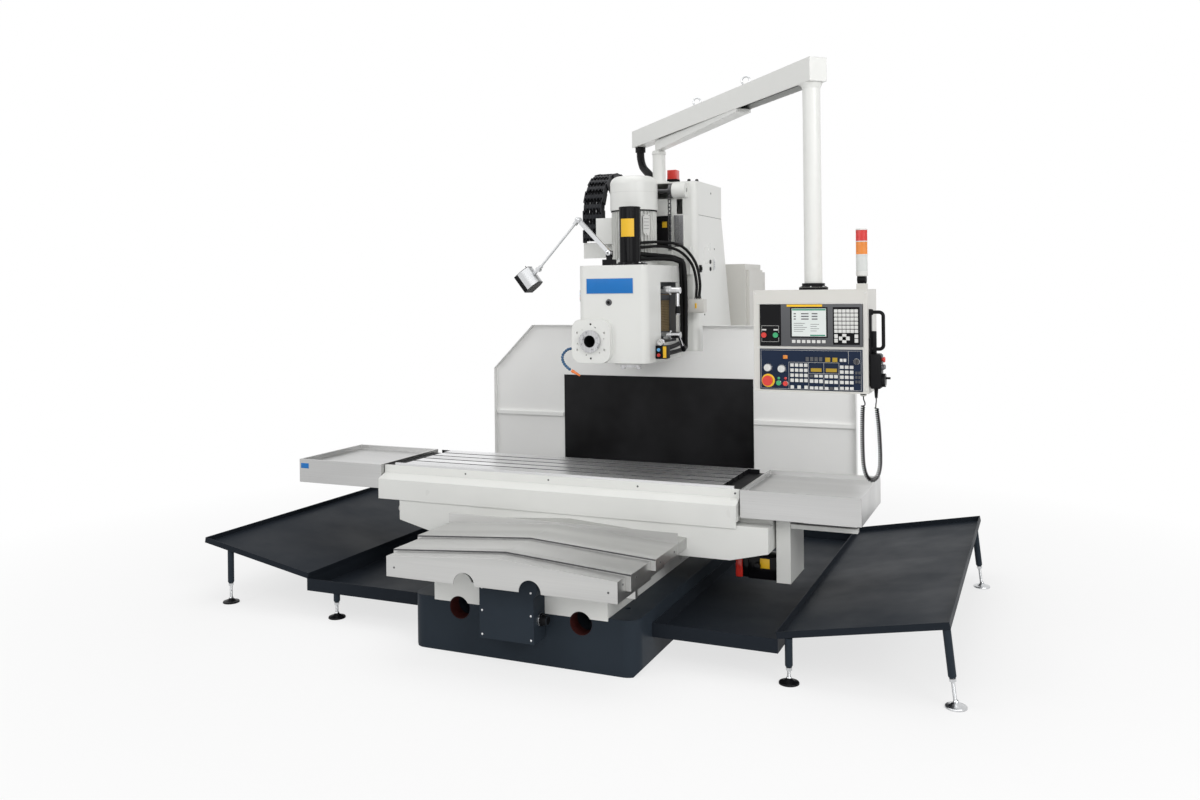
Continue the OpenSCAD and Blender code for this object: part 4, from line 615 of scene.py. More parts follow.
# Air units: block, two set knobs, gauge
knobs = {"knob_blue": Shape(), "red": Shape()}
block, gauge_ring, gauge_face, needles = Shape(), Shape(), Shape(), Shape()
for x, z, w, h, gauge_z, r in ((205.3, 1325, 69, 76, 1421, 20), (-269, 1657, 43.7, 68, 1745, 17)):
    gauge_x = x + 0.42 * w
    gauge = shift(gauge_x, 0, gauge_z)
    block.box((x, x + w), (422, 480), (z, z + h), 2.5)
    block.box(about(gauge_x, 7), (427, 447), (z + h - 1, gauge_z - 12), 1.5)
    block.box((x + 3, x + w - 3), (420.4, 423), (z + 3, z + h - 3), 1)
    for look, share in (("knob_blue", 0.68), ("red", 0.28)):
        knobs[look].lathe(
            "y", (x + 0.3 * w, z + share * h), [(0, 413), (7.5, 413), (9.5, 414.5), (10.5, 421), (0, 421)], 24)
    gauge_ring.lathe("y", (gauge_x, gauge_z), [
        (r - 3, 424.6), (r - 2.4, 423), (r - 0.6, 423), (r, 425), (r, 442), (r - 3, 444), (0, 444), (0, 427),
        (r - 3, 427)])
    gauge_face.lathe("y", (gauge_x, gauge_z), [(0, 426), (r - 3, 426), (r - 3, 427.2), (0, 427.2)])
    for i in range(9):
        needles.box((r * 0.6, r * 0.78), (425.4, 426.1), (-0.4, 0.4), place=gauge @ spin(33.75 * i - 45, "Y"))
    needles.box((-2, r * 0.6), (425, 425.8), (-0.6, 0.6), place=gauge @ spin(-130, "Y"))
    needles.rod("y", 424.8, 426, (gauge_x, gauge_z), 1.8, n=12)
on_head("air_block", "plastic", block, "air_units")
on_head("air_gauge_ring", "chrome", gauge_ring)
on_head("air_gauge_face", "light", gauge_face)
on_head("air_gauge_needle", "dark", needles)
on_head("air_knob_blue", "knob_blue", knobs["knob_blue"])
on_head("air_knob_red", "red", knobs["red"])
on_head("air_plate", "yellow", Shape().box((252, 272), (419.4, 421), (1331, 1397), 0.6))

# Coolant hose: ball and socket links, with a nozzle
COOLANT = [(-268, 330, 1382), (-296, 326, 1381), (-318, 322, 1368), (-333, 318, 1348), (-336, 314, 1326),
           (-328, 310, 1304), (-312, 306, 1285), (-290, 302, 1268), (-268, 300, 1256)]
LINK = 15
line = evenly(spline(COOLANT, 30), 1.0)
links = Shape()
for start in range(0, len(line) - LINK + 2, LINK):
    part = line[start:start + LINK]
    swell = [sin(pi * min(1, i / (len(part) - 1) * 1.15)) ** 0.6 for i in range(len(part))]
    links.tube(part, [6.2 + 2.6 * s for s in swell], 20)
links.lathe("x", (330, 1382), [(0, -268), (12, -268), (12, -256), (14, -255), (14, -250), (0, -250)], 6)
on_head("coolant_links", "blue", links, "coolant_hose")
on_head("coolant_nozzle", "orange", Shape(shift(*COOLANT[-1]) @ spin(118, "Y") @ spin(-4, "Z")).lathe(
    "z", MID, [(0, -2), (8, -2), (9.4, 2), (9.4, 14), (8.2, 16), (5.4, 56), (4.8, 58), (0, 58)]))

# Draw-bar cylinder: fluted black body on a bolted base
cylinder = shift(0, 560)
FLUTES = 8
outline = []
for i in range(240):
    t = 2 * pi * i / 240
    r = 62.2 + 2.7 * (0.5 + 0.5 * cos(FLUTES * t)) ** 0.5
    outline.append((r * cos(t), r * sin(t)))
body = Shape(cylinder).prism("z", 1889, 2207, outline)
for profile, n in (([(0, 2207), (65, 2207), (65, 2212), (62, 2215), (0, 2215)], 64),
                   ([(0, 1866), (75, 1866), (75, 1884), (73, 1887), (65, 1889), (0, 1889)], 64),
                   ([(0, 2214), (30, 2214), (30, 2215), (0, 2215)], 48)):
    body.lathe("z", MID, profile, n)
body.box((-92, 92), (-60, 50), (1865, 1879), 2)
on_head("drawbar_body", "black", body, "drawbar_cylinder")
bolts = Shape(cylinder).lathes("z", grid((-80, 80), (-48, 38)), [
    (0, 1886), (3.4, 1886), (3.4, 1883), (6.2, 1883), (6.8, 1885.4), (8, 1884), (8, 1879), (0, 1879)], 6)
for z in (1975, 2003):
    bolts.rod("x", 26, 42, (61, z), 11, n=6)
on_head("drawbar_bolts", "zinc", bolts)
on_head("drawbar_plate", "yellow", Shape(cylinder).lathe(
    "z", MID, [(65.1, 2036), (66.3, 2036), (66.3, 2142), (65.1, 2142)], 40, 240, 314))

# Spindle motor
motor = shift(-57, 775)
on_head("cowl_gap", "dark", Shape(motor).lathe(
    "z", MID, [(138.2, 2199), (141, 2199), (141, 2206), (138.2, 2206)], 72))
on_head("cowl_crease", "light", Shape(motor).lathe(
    "z", MID, [(145.6, 2314.6), (146.5, 2315.6), (146.5, 2317.6), (145.6, 2318.6)], 72).lathes(
    "z", around(12, 60, 15), [(0, 2416.3), (7, 2416.3), (7, 2415), (0, 2415)], 16))
rating = motor @ spin(-37, "Z")
on_head("rating_plate", "light", Shape(rating).prism(
    "x", 138.5, 142.2, [(-24, 2176), (24, 2176), (24, 2070), (10, 2050), (-10, 2050), (-24, 2070)], 0.8))
lines = Shape(rating)
for z in (2150, 2130, 2110, 2090):
    lines.box((142.1, 142.6), (-18, 18), (z, z + 2))
for at in ((-19, 2170), (19, 2170), (0, 2058)):
    lines.rod("x", 141, 143.4, at, 2.6, n=12)
on_head("rating_plate_lines", "dark_steel", lines)
on_head("motor_bolts", "zinc", Shape(motor).lathes(
    "x", grid((-63, 43), (2017, 2153)), stud(5, -226.6, -223.5, 1.6, 1.6), 12).lathes(
    "z", around(8, 134, 22), stud(7, 1911, 1903, 1, 1), 6))
on_head("terminal_lid", "white", Shape().box((-283, -280.8), (706, 824), (2011, 2159), 0.8).rod(
    "z", 1993, 2005.5, (-228, 765), 16, n=6))

# ---- work light ----

LAMP_Y = 352
for name, body_name, at, r in (("lamp_pivot_bolt", "lamp_lower_arm", (-46, 1937), 15),
                               ("lamp_elbow_bolt", "lamp_upper_arm", (-240, 2135), 12)):
    piece(body_name, name, "zinc", Shape(shift(0, LAMP_Y)).lathe(
        "y", at, [(0, -22.5), (4, -22.5), (6, -21), (r - 4, -20.6), (r, -19), (r, -17.8), (0, -17.8)]))
lamp = shift(-505, LAMP_Y, 1849) @ spin(-38, "Y")
shell = Shape(lamp).prism("z", -64, 48, [
    (-34, -24), (-34, 24), (-40, 34), (-74, 49), (-84, 50), (-111, 50), (-111, -50), (-84, -50), (-74, -49),
    (-40, -34)], 1.2)
shell.box((-36, -6), (-9, 9), (-8, 8), 1.5).rod("y", -9, 9, MID, 14, rounding=1.5)
piece("lamp_head", "lamp_shell", "alu", shell, "lamp_head")
edge = Shape(lamp)
for z in ((-66, -63.6), (47.6, 50)):
    edge.prism("z", *z, [
        (-33, -25), (-33, 25), (-39, 35), (-74, 50), (-138, 50), (-138, -50), (-74, -50), (-39, -35)], 0.6)
edge.rod("y", -10.2, 10.2, MID, 6, rounding=1)
piece("lamp_head", "lamp_frame", "plastic", edge.boxes(
    ((-138, -111), (48.4, 50), (-65, 49), 0.5), ((-138, -111), (-50, -48.4), (-65, 49), 0.5),
    ((-113, -110.6), (-50.2, 50.2), (-65, 49), 0.4), ((-60, -52), (-4, 4), (49, 60), 1.5),
    ((-58, -54), (-2.5, 2.5), (58, 72), 1)))
piece("lamp_head", "lamp_window", "screen", Shape(lamp).box((-136, -112), (-48, 48), (-63, 47), 3))
piece("lamp_head", "lamp_fins", "alu", Shape(lamp).boxes(
    *((about(-46 - 6 * i, 1.2), about(0, 34.6 + 2.6 * i), (-58, 42), 0.5) for i in range(5))))

# ---- column ----

COLUMN_X = 282
COVER_TOP = 2395
seams = Shape()
for s in (-1, 1):
    seams.box(about(s * COLUMN_X, 0.3), (1010, 1494), (2183.6, 2186))
    seams.box(about(s * 223.25, 0.25), (953, 961), (2326, 2350), 0.2)
fixed("column_seams", "dark", seams)
wall = shift(COLUMN_X)
fixed("column_fittings", "plastic", Shape(wall).boxes(
    ((0, 11), (1011, 1039), (1826, 1872), 2), ((10, 16), (1018, 1032), (1838, 1860), 1.5)).lathe(
    "x", (1269, 2338), [(0, -1), (0, 0.6), (7, 0.6), (8, -1)], 24).lathes(
    "x", ((1240, 1850), (1240, 1896)), [(0, 3), (8, 3), (12, 5), (14, 1.5), (14, -1), (0, -1)], 28).lathes(
    "x", ((1110, 1560), (1180, 1452), (1330, 1450), (1330, 1980)), stud(6, 2.4, -1, 1, 1.4), 6))
ends = arc(1308, 1902, 17, 0, 180, 12) + arc(1308, 1858, 17, 180, 360, 12)
fixed("oval_plate", "zinc", Shape(wall).prism("x", 5.5, 7.5, ends, 0.6))
# Dark strips on the oval plate: painted shade where its slots are
fixed("oval_plate_slot_shade", "dark", Shape(wall).boxes(
    *(((7.4, 8), (1303, 1313), about(z, 3), 0.2) for z in (1866, 1880, 1894))))
fixed("cover_bolts", "plastic", Shape(shift(0, 0, COVER_TOP)).lathes(
    "z", ((222, 1010), (262, 1044)), [(0, 17), (4, 17), (10, 14), (10, 5), (14, 4), (14, 0), (0, 0)], 24))
fixed("way_faces", "way", Shape().boxes(*((about(x, 30), (954.95, 955), (1346, 2184)) for x in (-170, 170))))
fixed("screw_cover", "dark", Shape().boxes(
    ((-105, 105), (1000, 1008), (1350, 2184), 1), ((-108, 108), (990, 1001), (2150, 2184), 1)))
fixed("screw_cover_plate", "yellow", Shape().box((44, 76), (998.6, 1000), (2112, 2160), 0.4))
fixed("window_plates", "light", Shape().boxes(
    ((92, 134), (1060, 1068), (2292, 2386), 1), ((-134, -60), (1060, 1068), (2292, 2386), 1)))

# Servo motor that raises the head
servo = shift(46, 1215, COVER_TOP)
fixed("z_servo_body", "dark", Shape(servo).boxes(
    ((-42, 42), (-42, 42), (0, 10), 1.5), ((-34, 34), (-34, 34), (9, 42), 4), ((20, 41), (-14, 14), (14, 38), 2)),
      "z_servo_motor")
fixed("z_servo_cap", "red", Shape(servo).boxes(
    ((-32, 32), (-32, 32), (41.5, 101.5), 5, 3), ((-33, 33), (-33, 33), (41.5, 48), 2)))

# Junction box: latch, glands, edge of its lid
fixed("junction_latch", "yellow", Shape().boxes(
    ((300, 312), (861.6, 864), (1604, 1636), 1), ((303, 309), (860.6, 862), (1616, 1624), 0.6)))
fixed("junction_glands", "plastic", Shape().lathes("z", ((299, 896), (319, 896)), [
    (9.4, 1660), (12.4, 1660), (12.4, 1668), (11, 1669), (11, 1676), (9.4, 1677)], 6))
fixed("junction_lid", "cream", Shape().box((239.6, 356.4), (863.4, 866), (1581.6, 1660.4), 0.8))

# Drag chain: ribs between its cross bars, and the cables in it
CHAIN_X, CHAIN_Y, CHAIN_Z = -426, 846, 2195
CHAIN_W = 134
CHAIN_R = 262
CHAIN_BARS = 24
head_run = CHAIN_Z - 2032
loop_arc = pi * CHAIN_R
chain_total = head_run + loop_arc + CHAIN_Z - 1700
pitch = chain_total / CHAIN_BARS


def on_loop(s):
    """Place and tilt of the point at a distance along the chain."""
    if s < head_run:
        return CHAIN_Y, CHAIN_Z - head_run + s, 0
    if s > head_run + loop_arc:
        return CHAIN_Y + 2 * CHAIN_R, CHAIN_Z - (s - head_run - loop_arc), 180
    a = (s - head_run) / CHAIN_R
    return CHAIN_Y + CHAIN_R * (1 - cos(a)), CHAIN_Z + CHAIN_R * sin(a), degrees(a)


ribs = Shape()
for i in range(CHAIN_BARS):
    y, z, tilt = on_loop((i + 0.5) * pitch)
    place = shift(CHAIN_X, y, z) @ spin(-tilt, "X")
    for side in (-1, 1):
        for k in range(1, 6):
            ribs.box(about(CHAIN_W * k / 6, 2.2), about(side * 22.7, 2.7), about(0, pitch / 2 - 4), place=place)
        for k in range(6):
            ribs.box(about(CHAIN_W * (k + 0.5) / 6, 6), about(side * 25, 1.4), (-10, 10), 0.8, 1, place=place)
fixed("chain_ribs", "chain", ribs)
cables = Shape(shift(CHAIN_X))
run = [on_loop(chain_total * i / 90) for i in range(91)]
for x, r in ((24, 11), (47, 9), (68, 12), (92, 9), (112, 10)):
    cables.tube([(x, y, z) for y, z, tilt in run], r, 10)
fixed("chain_cables", "dark", cables)

# Boom: lifting eyes, and painted shade on its underside
boom = shift(0, 1075) @ spin(42.2 - 90, "Z")
eyes = Shape(boom)
for x in (600, 1230):
    eyes.tube([(a, 0, -b) for a, b in around(48, 22)], 5.3, 12, closed=True, place=shift(x, 0, 2818) @ spin(45, "Z"))
    eyes.lathe("z", (x, 0), [(0, 2799), (7, 2798), (12, 2792), (16, 2788), (16, 2785), (0, 2785)], 24)
piece("boom", "lifting_eyes", "zinc", eyes)
piece("boom", "boom_underside_shade", "grey", Shape(boom).box((62, 1835), (-37, 37), (2700, 2702)))

# ---- control panel ----

# On the panel, x counts from its left edge and y from its front
panel = shift(box_x, box_y)


def slabs(y, rounding, *plates, onto=None):
    """Plates of one thickness, each given by its limits across and its heights."""
    return (onto or Shape(panel)).boxes(*((x, y, z, rounding, 1) for x, z in plates))


def keys(*groups, y=(-8, -3), rounding=1.0):
    """Keys in rows and columns: places across, heights, width and height of one key."""
    shape = Shape(panel)
    for xs, zs, w, h in groups:
        slabs(y, rounding, *(((x, x + w), (z, z + h)) for x, z in grid(xs, zs)), onto=shape)
    return shape


def steps(first, step, n):
    return [first + step * i for i in range(n)]


# Pole flange, trim of the box
POLE = (1504.25 - 230, -330.3)
on_panel("pole_flange", "plastic", Shape().lathe(
    "z", POLE, [(26, 1716), (66.4, 1716), (66.4, 1727), (65, 1728.5), (56, 1729.5), (52.5, 1734), (52.4, 1746.2),
                (26, 1746.2)], 64))
on_panel("pole_flange_bolts", "zinc",
      Shape(shift(*POLE)).lathes("z", around(6, 60, 30), stud(4.5, 1733, 1728, 1.5, 1), 6))
on_panel("panel_trim", "light", slabs(
    (-2.2, 1), 0.6, ((16, 500), (1652.6, 1656)), ((16, 500), (1452.4, 1456))).lathes(
    "y", grid((10, 506), (1270, 1700)), stud(4, -2, 0, 1, 1), 12))

# Display unit
on_panel("display_frame", "grey", Shape(panel).box((128, 494), (-6, 8), (1461, 1651), 2.5), "display_unit")
on_panel("display_inset", "dark",
      slabs((-7, -5), 1, ((172, 341), (1500, 1638)), ((364, 482), (1470, 1638))))
on_panel("display_screen", "screen", slabs((-7.6, -6), 0.6, ((179, 334), (1506, 1632))))
ON_SCREEN = (-7.9, -7.4)
on_panel("display_strip", "leaf",
      slabs(ON_SCREEN, 0.2, ((181, 332), (1623, 1630)), ((262, 330), (1508, 1514))))
rows = [((x, x + w), (z, z + 5)) for x, w in ((188, 10), (222, 34), (270, 26)) for z in (1606, 1594, 1582)]
rows += [((188, 230 + 9 * (i % 3)), (1528 + 9 * i, 1530 + 9 * i)) for i in range(5)]
rows += [((264, 292 + 11 * (i % 2)), (1530 + 10 * i, 1532 + 10 * i)) for i in range(4)]
on_panel("display_marks", "grey", slabs(ON_SCREEN, 0, *rows))
on_panel("display_bar", "yellow", slabs((-7.4, -5), 0.6, ((156, 317), (1640, 1650))))
soft = keys((steps(370, 17.8, 6), steps(1523, 18, 6), 15.6, 15), ([370, 459], [1480, 1500], 15.6, 17),
            y=(-9, -5), rounding=0.9)
slabs((-8.6, -5), 1, *(((x, x + 16), (1476, 1490)) for x in steps(179, 22.6, 7)), onto=soft)
slabs((-9, -5), 1, ((405, 423), (1478, 1519)), ((390, 438), (1490, 1507)), onto=soft)
on_panel("display_keys", "light", soft)

# Power plate: a hole for each button, and a hair-wide slit that joins the holes to its edge
BUTTONS = (50, 104)
BUTTON_Z = 1511
HOLE = 11
SLIT = 0.5  # half of the slit, in degrees round the hole
outline = [(30, BUTTON_Z + 0.1)]
for x, z, first in ((34, 1647, 180), (121.7, 1647, 90), (121.7, 1465, 0), (34, 1465, -90)):
    outline += arc(x, z, 4, first, first - 90)
outline.append((30, BUTTON_Z - 0.1))
for x in BUTTONS:
    outline += arc(x, BUTTON_Z, HOLE, 180 + SLIT, 360 - SLIT, 20)
for x in reversed(BUTTONS):
    outline += arc(x, BUTTON_Z, HOLE, SLIT, 180 - SLIT, 20)
on_panel("power_plate", "plastic", Shape(panel).prism("y", -4, 8, outline).lathes(
    "y", grid(BUTTONS, [BUTTON_Z]), stud(17, -6.5, -3, 1.5, 1.5, 12.7), 36))
PRINT = (-4.4, -3.6)
on_panel("power_lines", "light", slabs(
    PRINT, 0, ((38, 118), (1553, 1554)), ((38, 118), (1480, 1481)), ((38, 39), (1480, 1554)),
    ((117, 118), (1480, 1554)), ((40, 60), (1532, 1538)), ((94, 114), (1532, 1538))))

# Operator panel
on_panel("operator_plate", "navy", slabs((-4, 6), 2, ((28, 492), (1262, 1448))), "operator_panel")
PRINT = (-4.5, -3.6)
LINE = 0.9
lines = slabs(PRINT, 0, ((430, 431), (1384, 1442)))
for z, x in ((1267, (34, 486)), (1442, (34, 486)), (1388, (162, 388)), (1339, (252, 388))):
    lines.box(x, PRINT, (z, z + LINE))
for x, top in ((34, 1442.9), (485, 1442.9), (162, 1388), (252, 1388), (320.5, 1388), (388, 1388)):
    lines.box((x, x + LINE), PRINT, (1267, top))
DIALS = ((67, 1362), (131, 1358))
for x, z in DIALS:
    for i in range(11):
        lines.box((18, 20.5 if i % 5 else 22), PRINT, (-0.5, 0.5), place=shift(x, 0, z) @ spin(150 + 24 * i, "Y"))
on_panel("operator_lines", "light", lines)
RIGHT = [393, 414.5, 436]
on_panel("operator_keys", "light", keys(
    (steps(170, 20.9, 4), steps(1299, 23, 4), 15.3, 15), ([170, 201.5, 233], [1268.5], 15.3, 15),
    ([279, 300], [1322], 16, 12), ([258, 279, 300], [1297], 16, 16), ([258, 279, 300], [1268], 16, 13),
    ([325, 346, 367], [1320, 1295], 16, 14.5), ([325, 367], [1267], 16, 13),
    (RIGHT, [1363, 1341, 1318, 1295], 16, 14.6), (RIGHT, [1269.5], 16, 13), ([393, 409], [1394], 12, 14)))
on_panel("operator_dark_keys", "grey", keys(
    (steps(240, 20, 4), [1394], 15, 19), ([258], [1322], 16, 12), ([346], [1267], 16, 13),
    ([460, 473], steps(1300, 20, 3), 9, 12)))
on_panel("operator_yellow", "amber", slabs(
    (-5.4, -3.5), 0.6, ((263, 311), (1347, 1363)), ((330, 379), (1347, 1363)), onto=keys(([328, 360], [1392], 22, 20))))
on_panel("operator_orange_lamp", "orange_lens", slabs((-8, -3), 2, ((136.5, 157.5), (1403, 1420))))
for name, look, x in (("operator_green_lamp", "green", 116), ("operator_red_lamp", "red_lens", 147)):
    on_panel(name, look, Shape(panel).lathe(
        "y", (x, 1314), [(0, -9), (4, -8.6), (6, -7), (6.4, -3), (0, -3)], 24))
on_panel("stop_ring", "yellow", Shape(panel).lathe("y", (67, 1303), stud(30.5, -6, -3.5, 1.5, 1, 12), 64))
collars = Shape(panel)
for at, r in (((116, 1293), 12), ((147, 1291), 12), (DIALS[0], 15.5), (DIALS[1], 15.5), ((466, 1396), 14)):
    collars.lathe("y", at, stud(r, -6, -3.5, 1, 1, r - 4), 36)
on_panel("operator_collars", "zinc", collars)

# Signal tower
tower = shift(1504.25, -382.3, 1742)
on_panel("tower_joint", "plastic", Shape(tower).rod("x", -20, 20, (0, 18), 17.8, rounding=2).lathe(
    "z", MID, [(0, 0.5), (20, 0.5), (20, 5), (12, 9), (12, 30), (20, 34), (0, 34)]), "signal_tower")
rings = Shape(tower)
for profile in ([(0, 33), (22, 33), (26, 37), (26, 56), (0, 56)], [(0, 241), (26, 241), (26, 245), (22, 248), (0, 248)],
                [(0, 128), (25.8, 128), (25.8, 132), (0, 132)], [(0, 188), (25.8, 188), (25.8, 192), (0, 192)]):
    rings.lathe("z", MID, profile)
on_panel("tower_ends", "light", rings)
FLUTED = [point for pair in zip(around(40, 25.2), around(40, 24.3, 4.5)) for point in pair]
for name, look, low, high in (("tower_clear", "clear_lens", 56, 129.5), ("tower_orange", "orange_lens", 130.5, 189.5),
                              ("tower_red", "red_lens", 190.5, 241)):
    on_panel(name, look, Shape(tower).prism("z", low, high, FLUTED))

# Pendant: housing, handle, knobs, strain relief; x counts from the box's right side
hung = shift(side_x, box_y)
pendant = Shape(hung).boxes(
    ((4, 52), (8, 84), (1275, 1430), 9, 4), ((0, 8), (20, 70), (1285, 1500), 3),
    ((0.5, 10), (30, 62), (1405, 1628), 3), ((51, 53.5), (14, 78), (1282, 1424), 1),
    ((9, 30), (36, 56), (1425, 1530), 3)).lathes("x", ((46, 1450), (46, 1614)), stud(14, 16, 1, 2, 6), 32)
handle = [(2, 1614), (42, 1614)] + arc(42, 1596, 18, 80, 0, 8) + arc(42, 1468, 18, 0, -90, 9) + [(2, 1450)]
pendant.tube([(x, 46, z) for x, z in handle], 8)
for i in range(9):
    z = 1232 + 4.8 * i
    r = 6.2 + 0.42 * i
    pendant.lathe("z", (26, 46), [
        (0, z), (r, z), (r + 0.5, z + 1.6), (r - 0.6, z + 3.2), (r - 0.6, z + 4.8), (0, z + 4.8)], 24)
on_panel("pendant_housing", "plastic", pendant, "pendant")
knobs, marks = Shape(hung), Shape(hung)
for y in (28, 62):
    knobs.lathe("x", (y, 1370), stud(11, 66, 53, 3, 2.5), 12)
    marks.box((66, 66.6), about(y, 1), (1371, 1380), 0.2)
    for i in range(5):
        marks.box((53.4, 53.9), (-0.6, 0.6), (14, 17), place=shift(0, y, 1370) @ spin(30 * i - 60, "X"))
on_panel("pendant_knobs", "grey", knobs)
on_panel("pendant_marks", "light", marks)
on_panel("pendant_stop", "red", Shape(hung).lathe(
    "x", (40, 1404), [(0, 68), (9, 68), (12.5, 65), (12.5, 60), (8, 58), (8, 52), (0, 52)], 32))
on_panel("cord_gland", "plastic", Shape(hung).lathe(
    "z", (-30, 46), [(3, 1238.5), (9, 1238.5), (11, 1241), (11, 1246), (14.4, 1246), (14.4, 1254), (3, 1254)], 24))
marks = Shape(hung)
for i in range(20):
    marks.box((67.8, 68.5), (-0.5, 0.5), (23 if i % 5 else 20, 27.5), place=shift(0, 46, 1312) @ spin(18 * i, "X"))
piece("pendant_dial", "dial_marks", "light", marks)

# ---- saddle, table, base ----

servo = shift(0, -110, 351.1)
piece("saddle", "x_servo_body", "black", Shape(servo).boxes(
    ((900, 1052), (-58, 58), (-58, 58), 7, 3), ((872, 901), (-53, 53), (-53, 53), 3),
    ((1040, 1052), (-58, 58), (-58, 58), 2)).rod("y", -84, -57, (950, 10), 17, rounding=2).rod(
    "y", -78, -72, (950, 10), 18.6, n=12), "x_servo_motor")
piece("saddle", "x_servo_cap", "red", Shape(servo).boxes(
    ((836, 873), (-57.6, 57.6), (-57.6, 57.6), 8, 3), ((842, 866), (-58, -50), (-14, 30), 2)))
piece("saddle", "x_servo_plate", "yellow", Shape(servo).box((962, 1010), (-59, -57.5), (-2, 46), 0.5))

# Dark T-slots, end pockets and bridges of the table
SLOTS_Y = (-150, -50, 50, 150)
TABLE_X = (-1120, 858)
POCKET = 62
LAND_Y = 237.8
shade = Shape()
for y in SLOTS_Y:
    for s in (-1, 1):
        shade.box((TABLE_X[0] + POCKET, TABLE_X[1] - POCKET), about(y + s * 8.725, 0.225), (734, 759.7))
lands = list(zip((-LAND_Y,) + tuple(y + 9.2 for y in SLOTS_Y), tuple(y - 9.2 for y in SLOTS_Y) + (LAND_Y,)))
for end, s in ((TABLE_X[0], 1), (TABLE_X[1], -1)):
    x = sorted((end + s * 0.3, end + s * (POCKET - 0.2)))
    shade.box(x, about(0, LAND_Y), (735.1, 735.6))
    for y in (-237.7, 237.7):
        shade.box(x, about(y, 0.2), (735.3, 759.6))
    for land in lands:
        shade.box(about(end + s * (POCKET - 0.3), 0.2), land, (735.3, 759.6))
shade.box((TABLE_X[1] + 0.2, 899.8), (-247, 247), (739.05, 739.4))
shade.box((-1183.8, TABLE_X[0] - 0.2), (-247, 247), (739.05, 739.4))
piece("table_unit", "table_shades", "dark", shade)
piece("table_unit", "tray_label", "plate_blue",
      Shape(shift(0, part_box("end_trays")[0][1] / MM)).box((-1750, -1694), (-0.6, 0.4), (700, 730), 0.2))

# Seams, folded beads and screws of the way covers; the dark strip behind each bead is painted shade
COVER_W, EAVE, RIDGE = 588, 488, 44  # half width, height of the eaves, rise of the ridge
for k, (node_name, body_name) in enumerate((("way_cover_front", "machine"), ("way_cover_mid", "cover_mid"),
                                            ("way_cover_rear", "saddle"))):
    start = shift(0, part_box(node_name)[0][1] / MM)
    w, eave = COVER_W + 24 * k, EAVE + 9 * k

    def band(shape, y, up, down):
        return shape.prism("y", *y, [(-w, eave + up), (0, eave + RIDGE + up), (w, eave + up), (w, eave - down),
                                     (0, eave + RIDGE - down), (-w, eave - down)])

    beads = band(band(Shape(start), (16, 19), 0.9, 0.5), (34, 37), 0.9, 0.5)
    piece(body_name, node_name + "_beads", "cover", beads)
    seams_and_bead_shade = Shape(start)
    if k:
        band(seams_and_bead_shade, (-0.5, 0.2), -0.3, 7.5)
    # Dark strips just behind the two beads: painted shade of their far side
    for y in (19.2, 37.2):
        band(seams_and_bead_shade, (y, y + 1.4), 0.15, 0.5)
    for s in (-1, 1):
        seams_and_bead_shade.lathes("x", grid((60, 250), [eave - 26]), stud(5, s * (w + 2), s * (w - 1), 1, 1.4), 12)
        if k == 0:
            seams_and_bead_shade.lathe("y", (s * 545, eave - 50), stud(5, -2, 1, 1, 1.4), 12)
    piece(body_name, node_name + "_seams", "dark_steel", seams_and_bead_shade)

piece("table_unit", "apron_screws", "dark_steel",
      Shape().lathes("y", grid((-652, -147, 358, 867), [728]), stud(5, -266.6, -263, 2, 1.6), 16))
SOCKET = (-940, 232)
fixed("servo_cover_screws", "zinc", Shape().lathes(
    "y", grid((-126, 126), (152, 262, 366)), stud(5, -1003, -999.5, 2, 1.4), 16).lathe(
    "x", SOCKET, stud(29, 155, 140, 5, 7, 12), 32))
fixed("servo_plug", "plastic", Shape().lathe(
    "x", SOCKET, [(0, 184), (18, 184), (22.6, 180), (22.6, 158), (28.6, 156), (28.6, 140.5), (0, 140.5)], 32))

# Red primer inside the holes of the base
for name, s in (("base_hole_left", -1), ("base_hole_right", 1)):
    fixed(name, "primer", Shape().lathe(
        "y", (s * 318, 217), [(54.7, -879), (54.7, -800), (54.2, -800), (54.2, -879)]))

# Legs of the trays: tubes, threaded rods, feet
TRAY_Z = 130
WING_Z = 193.6  # height of an outer tray's inner edge
slope = atan2(130, 722)
tubes, rods, dark_feet = Shape(), Shape(), Shape()
THREAD = 4


def leg(x, y, top_z, tube_z, lean=0):
    place = shift(x, y, top_z) @ spin(-lean, "Y")
    c = cos(radians(lean))
    end = -(top_z - tube_z) / c
    tubes.lathe("z", MID, [(0, 0), (17, 0), (17, end), (15, end - 4), (12, end - 8), (0, end - 8)], 32, place=place)
    low, high = -(top_z - 20) / c, end - 4
    thread = [(0, low)]
    for z in steps(low, THREAD, int((high - low) / THREAD)):
        thread += [(7.2, z), (8.1, z + 1.3), (8.1, z + 2.4)]
    rods.lathe("z", MID, thread + [(7.2, high), (0, high)], 16, place=place)
    rods.lathe("z", MID, [(7, end - 22), (14, end - 22), (14, end - 10), (7, end - 10)], 6, place=place)
    at = (x + top_z * tan(radians(lean)), y)
    (rods if lean else dark_feet).lathe("z", at, [
        (0, 0), (45, 0), (45, 5), (43, 8), (33, 9.5), (22, 14), (15, 20), (11, 22), (0, 22)], 40)
    rods.lathe("z", at, [(0, 22), (10.5, 22), (12, 26), (9, 31), (0, 31)], 24)


for y in (-670, 1145):
    for edge_x, out, lean in ((1172, 704, 6), (1172, 47, 0), (-1383, 552, 0)):
        top_z = WING_Z + out * tan(slope) - 17 * tan(slope - radians(lean)) - 0.3
        leg(copysign(abs(edge_x) + out, edge_x), y, top_z, top_z * 0.4, lean)
    leg(-1207, y, TRAY_Z, TRAY_Z * 0.7)
fixed("leg_tubes", "slate", tubes, "tray_legs")
fixed("leg_rods", "zinc", rods)
fixed("leg_feet", "plastic", dark_feet)

# Cabinet: handle and louvres
piece("door", "door_handle", "plastic", Shape().boxes(
    ((383.5, 391), (1828, 1850), (996, 1144), 2.5), ((390, 397), (1833, 1845), (1010, 1130), 2)))


def louvres(x, y, lowest, pitch, n, high):
    return [(x, y, (z, z + high), 1.2) for z in steps(lowest, pitch, n)]


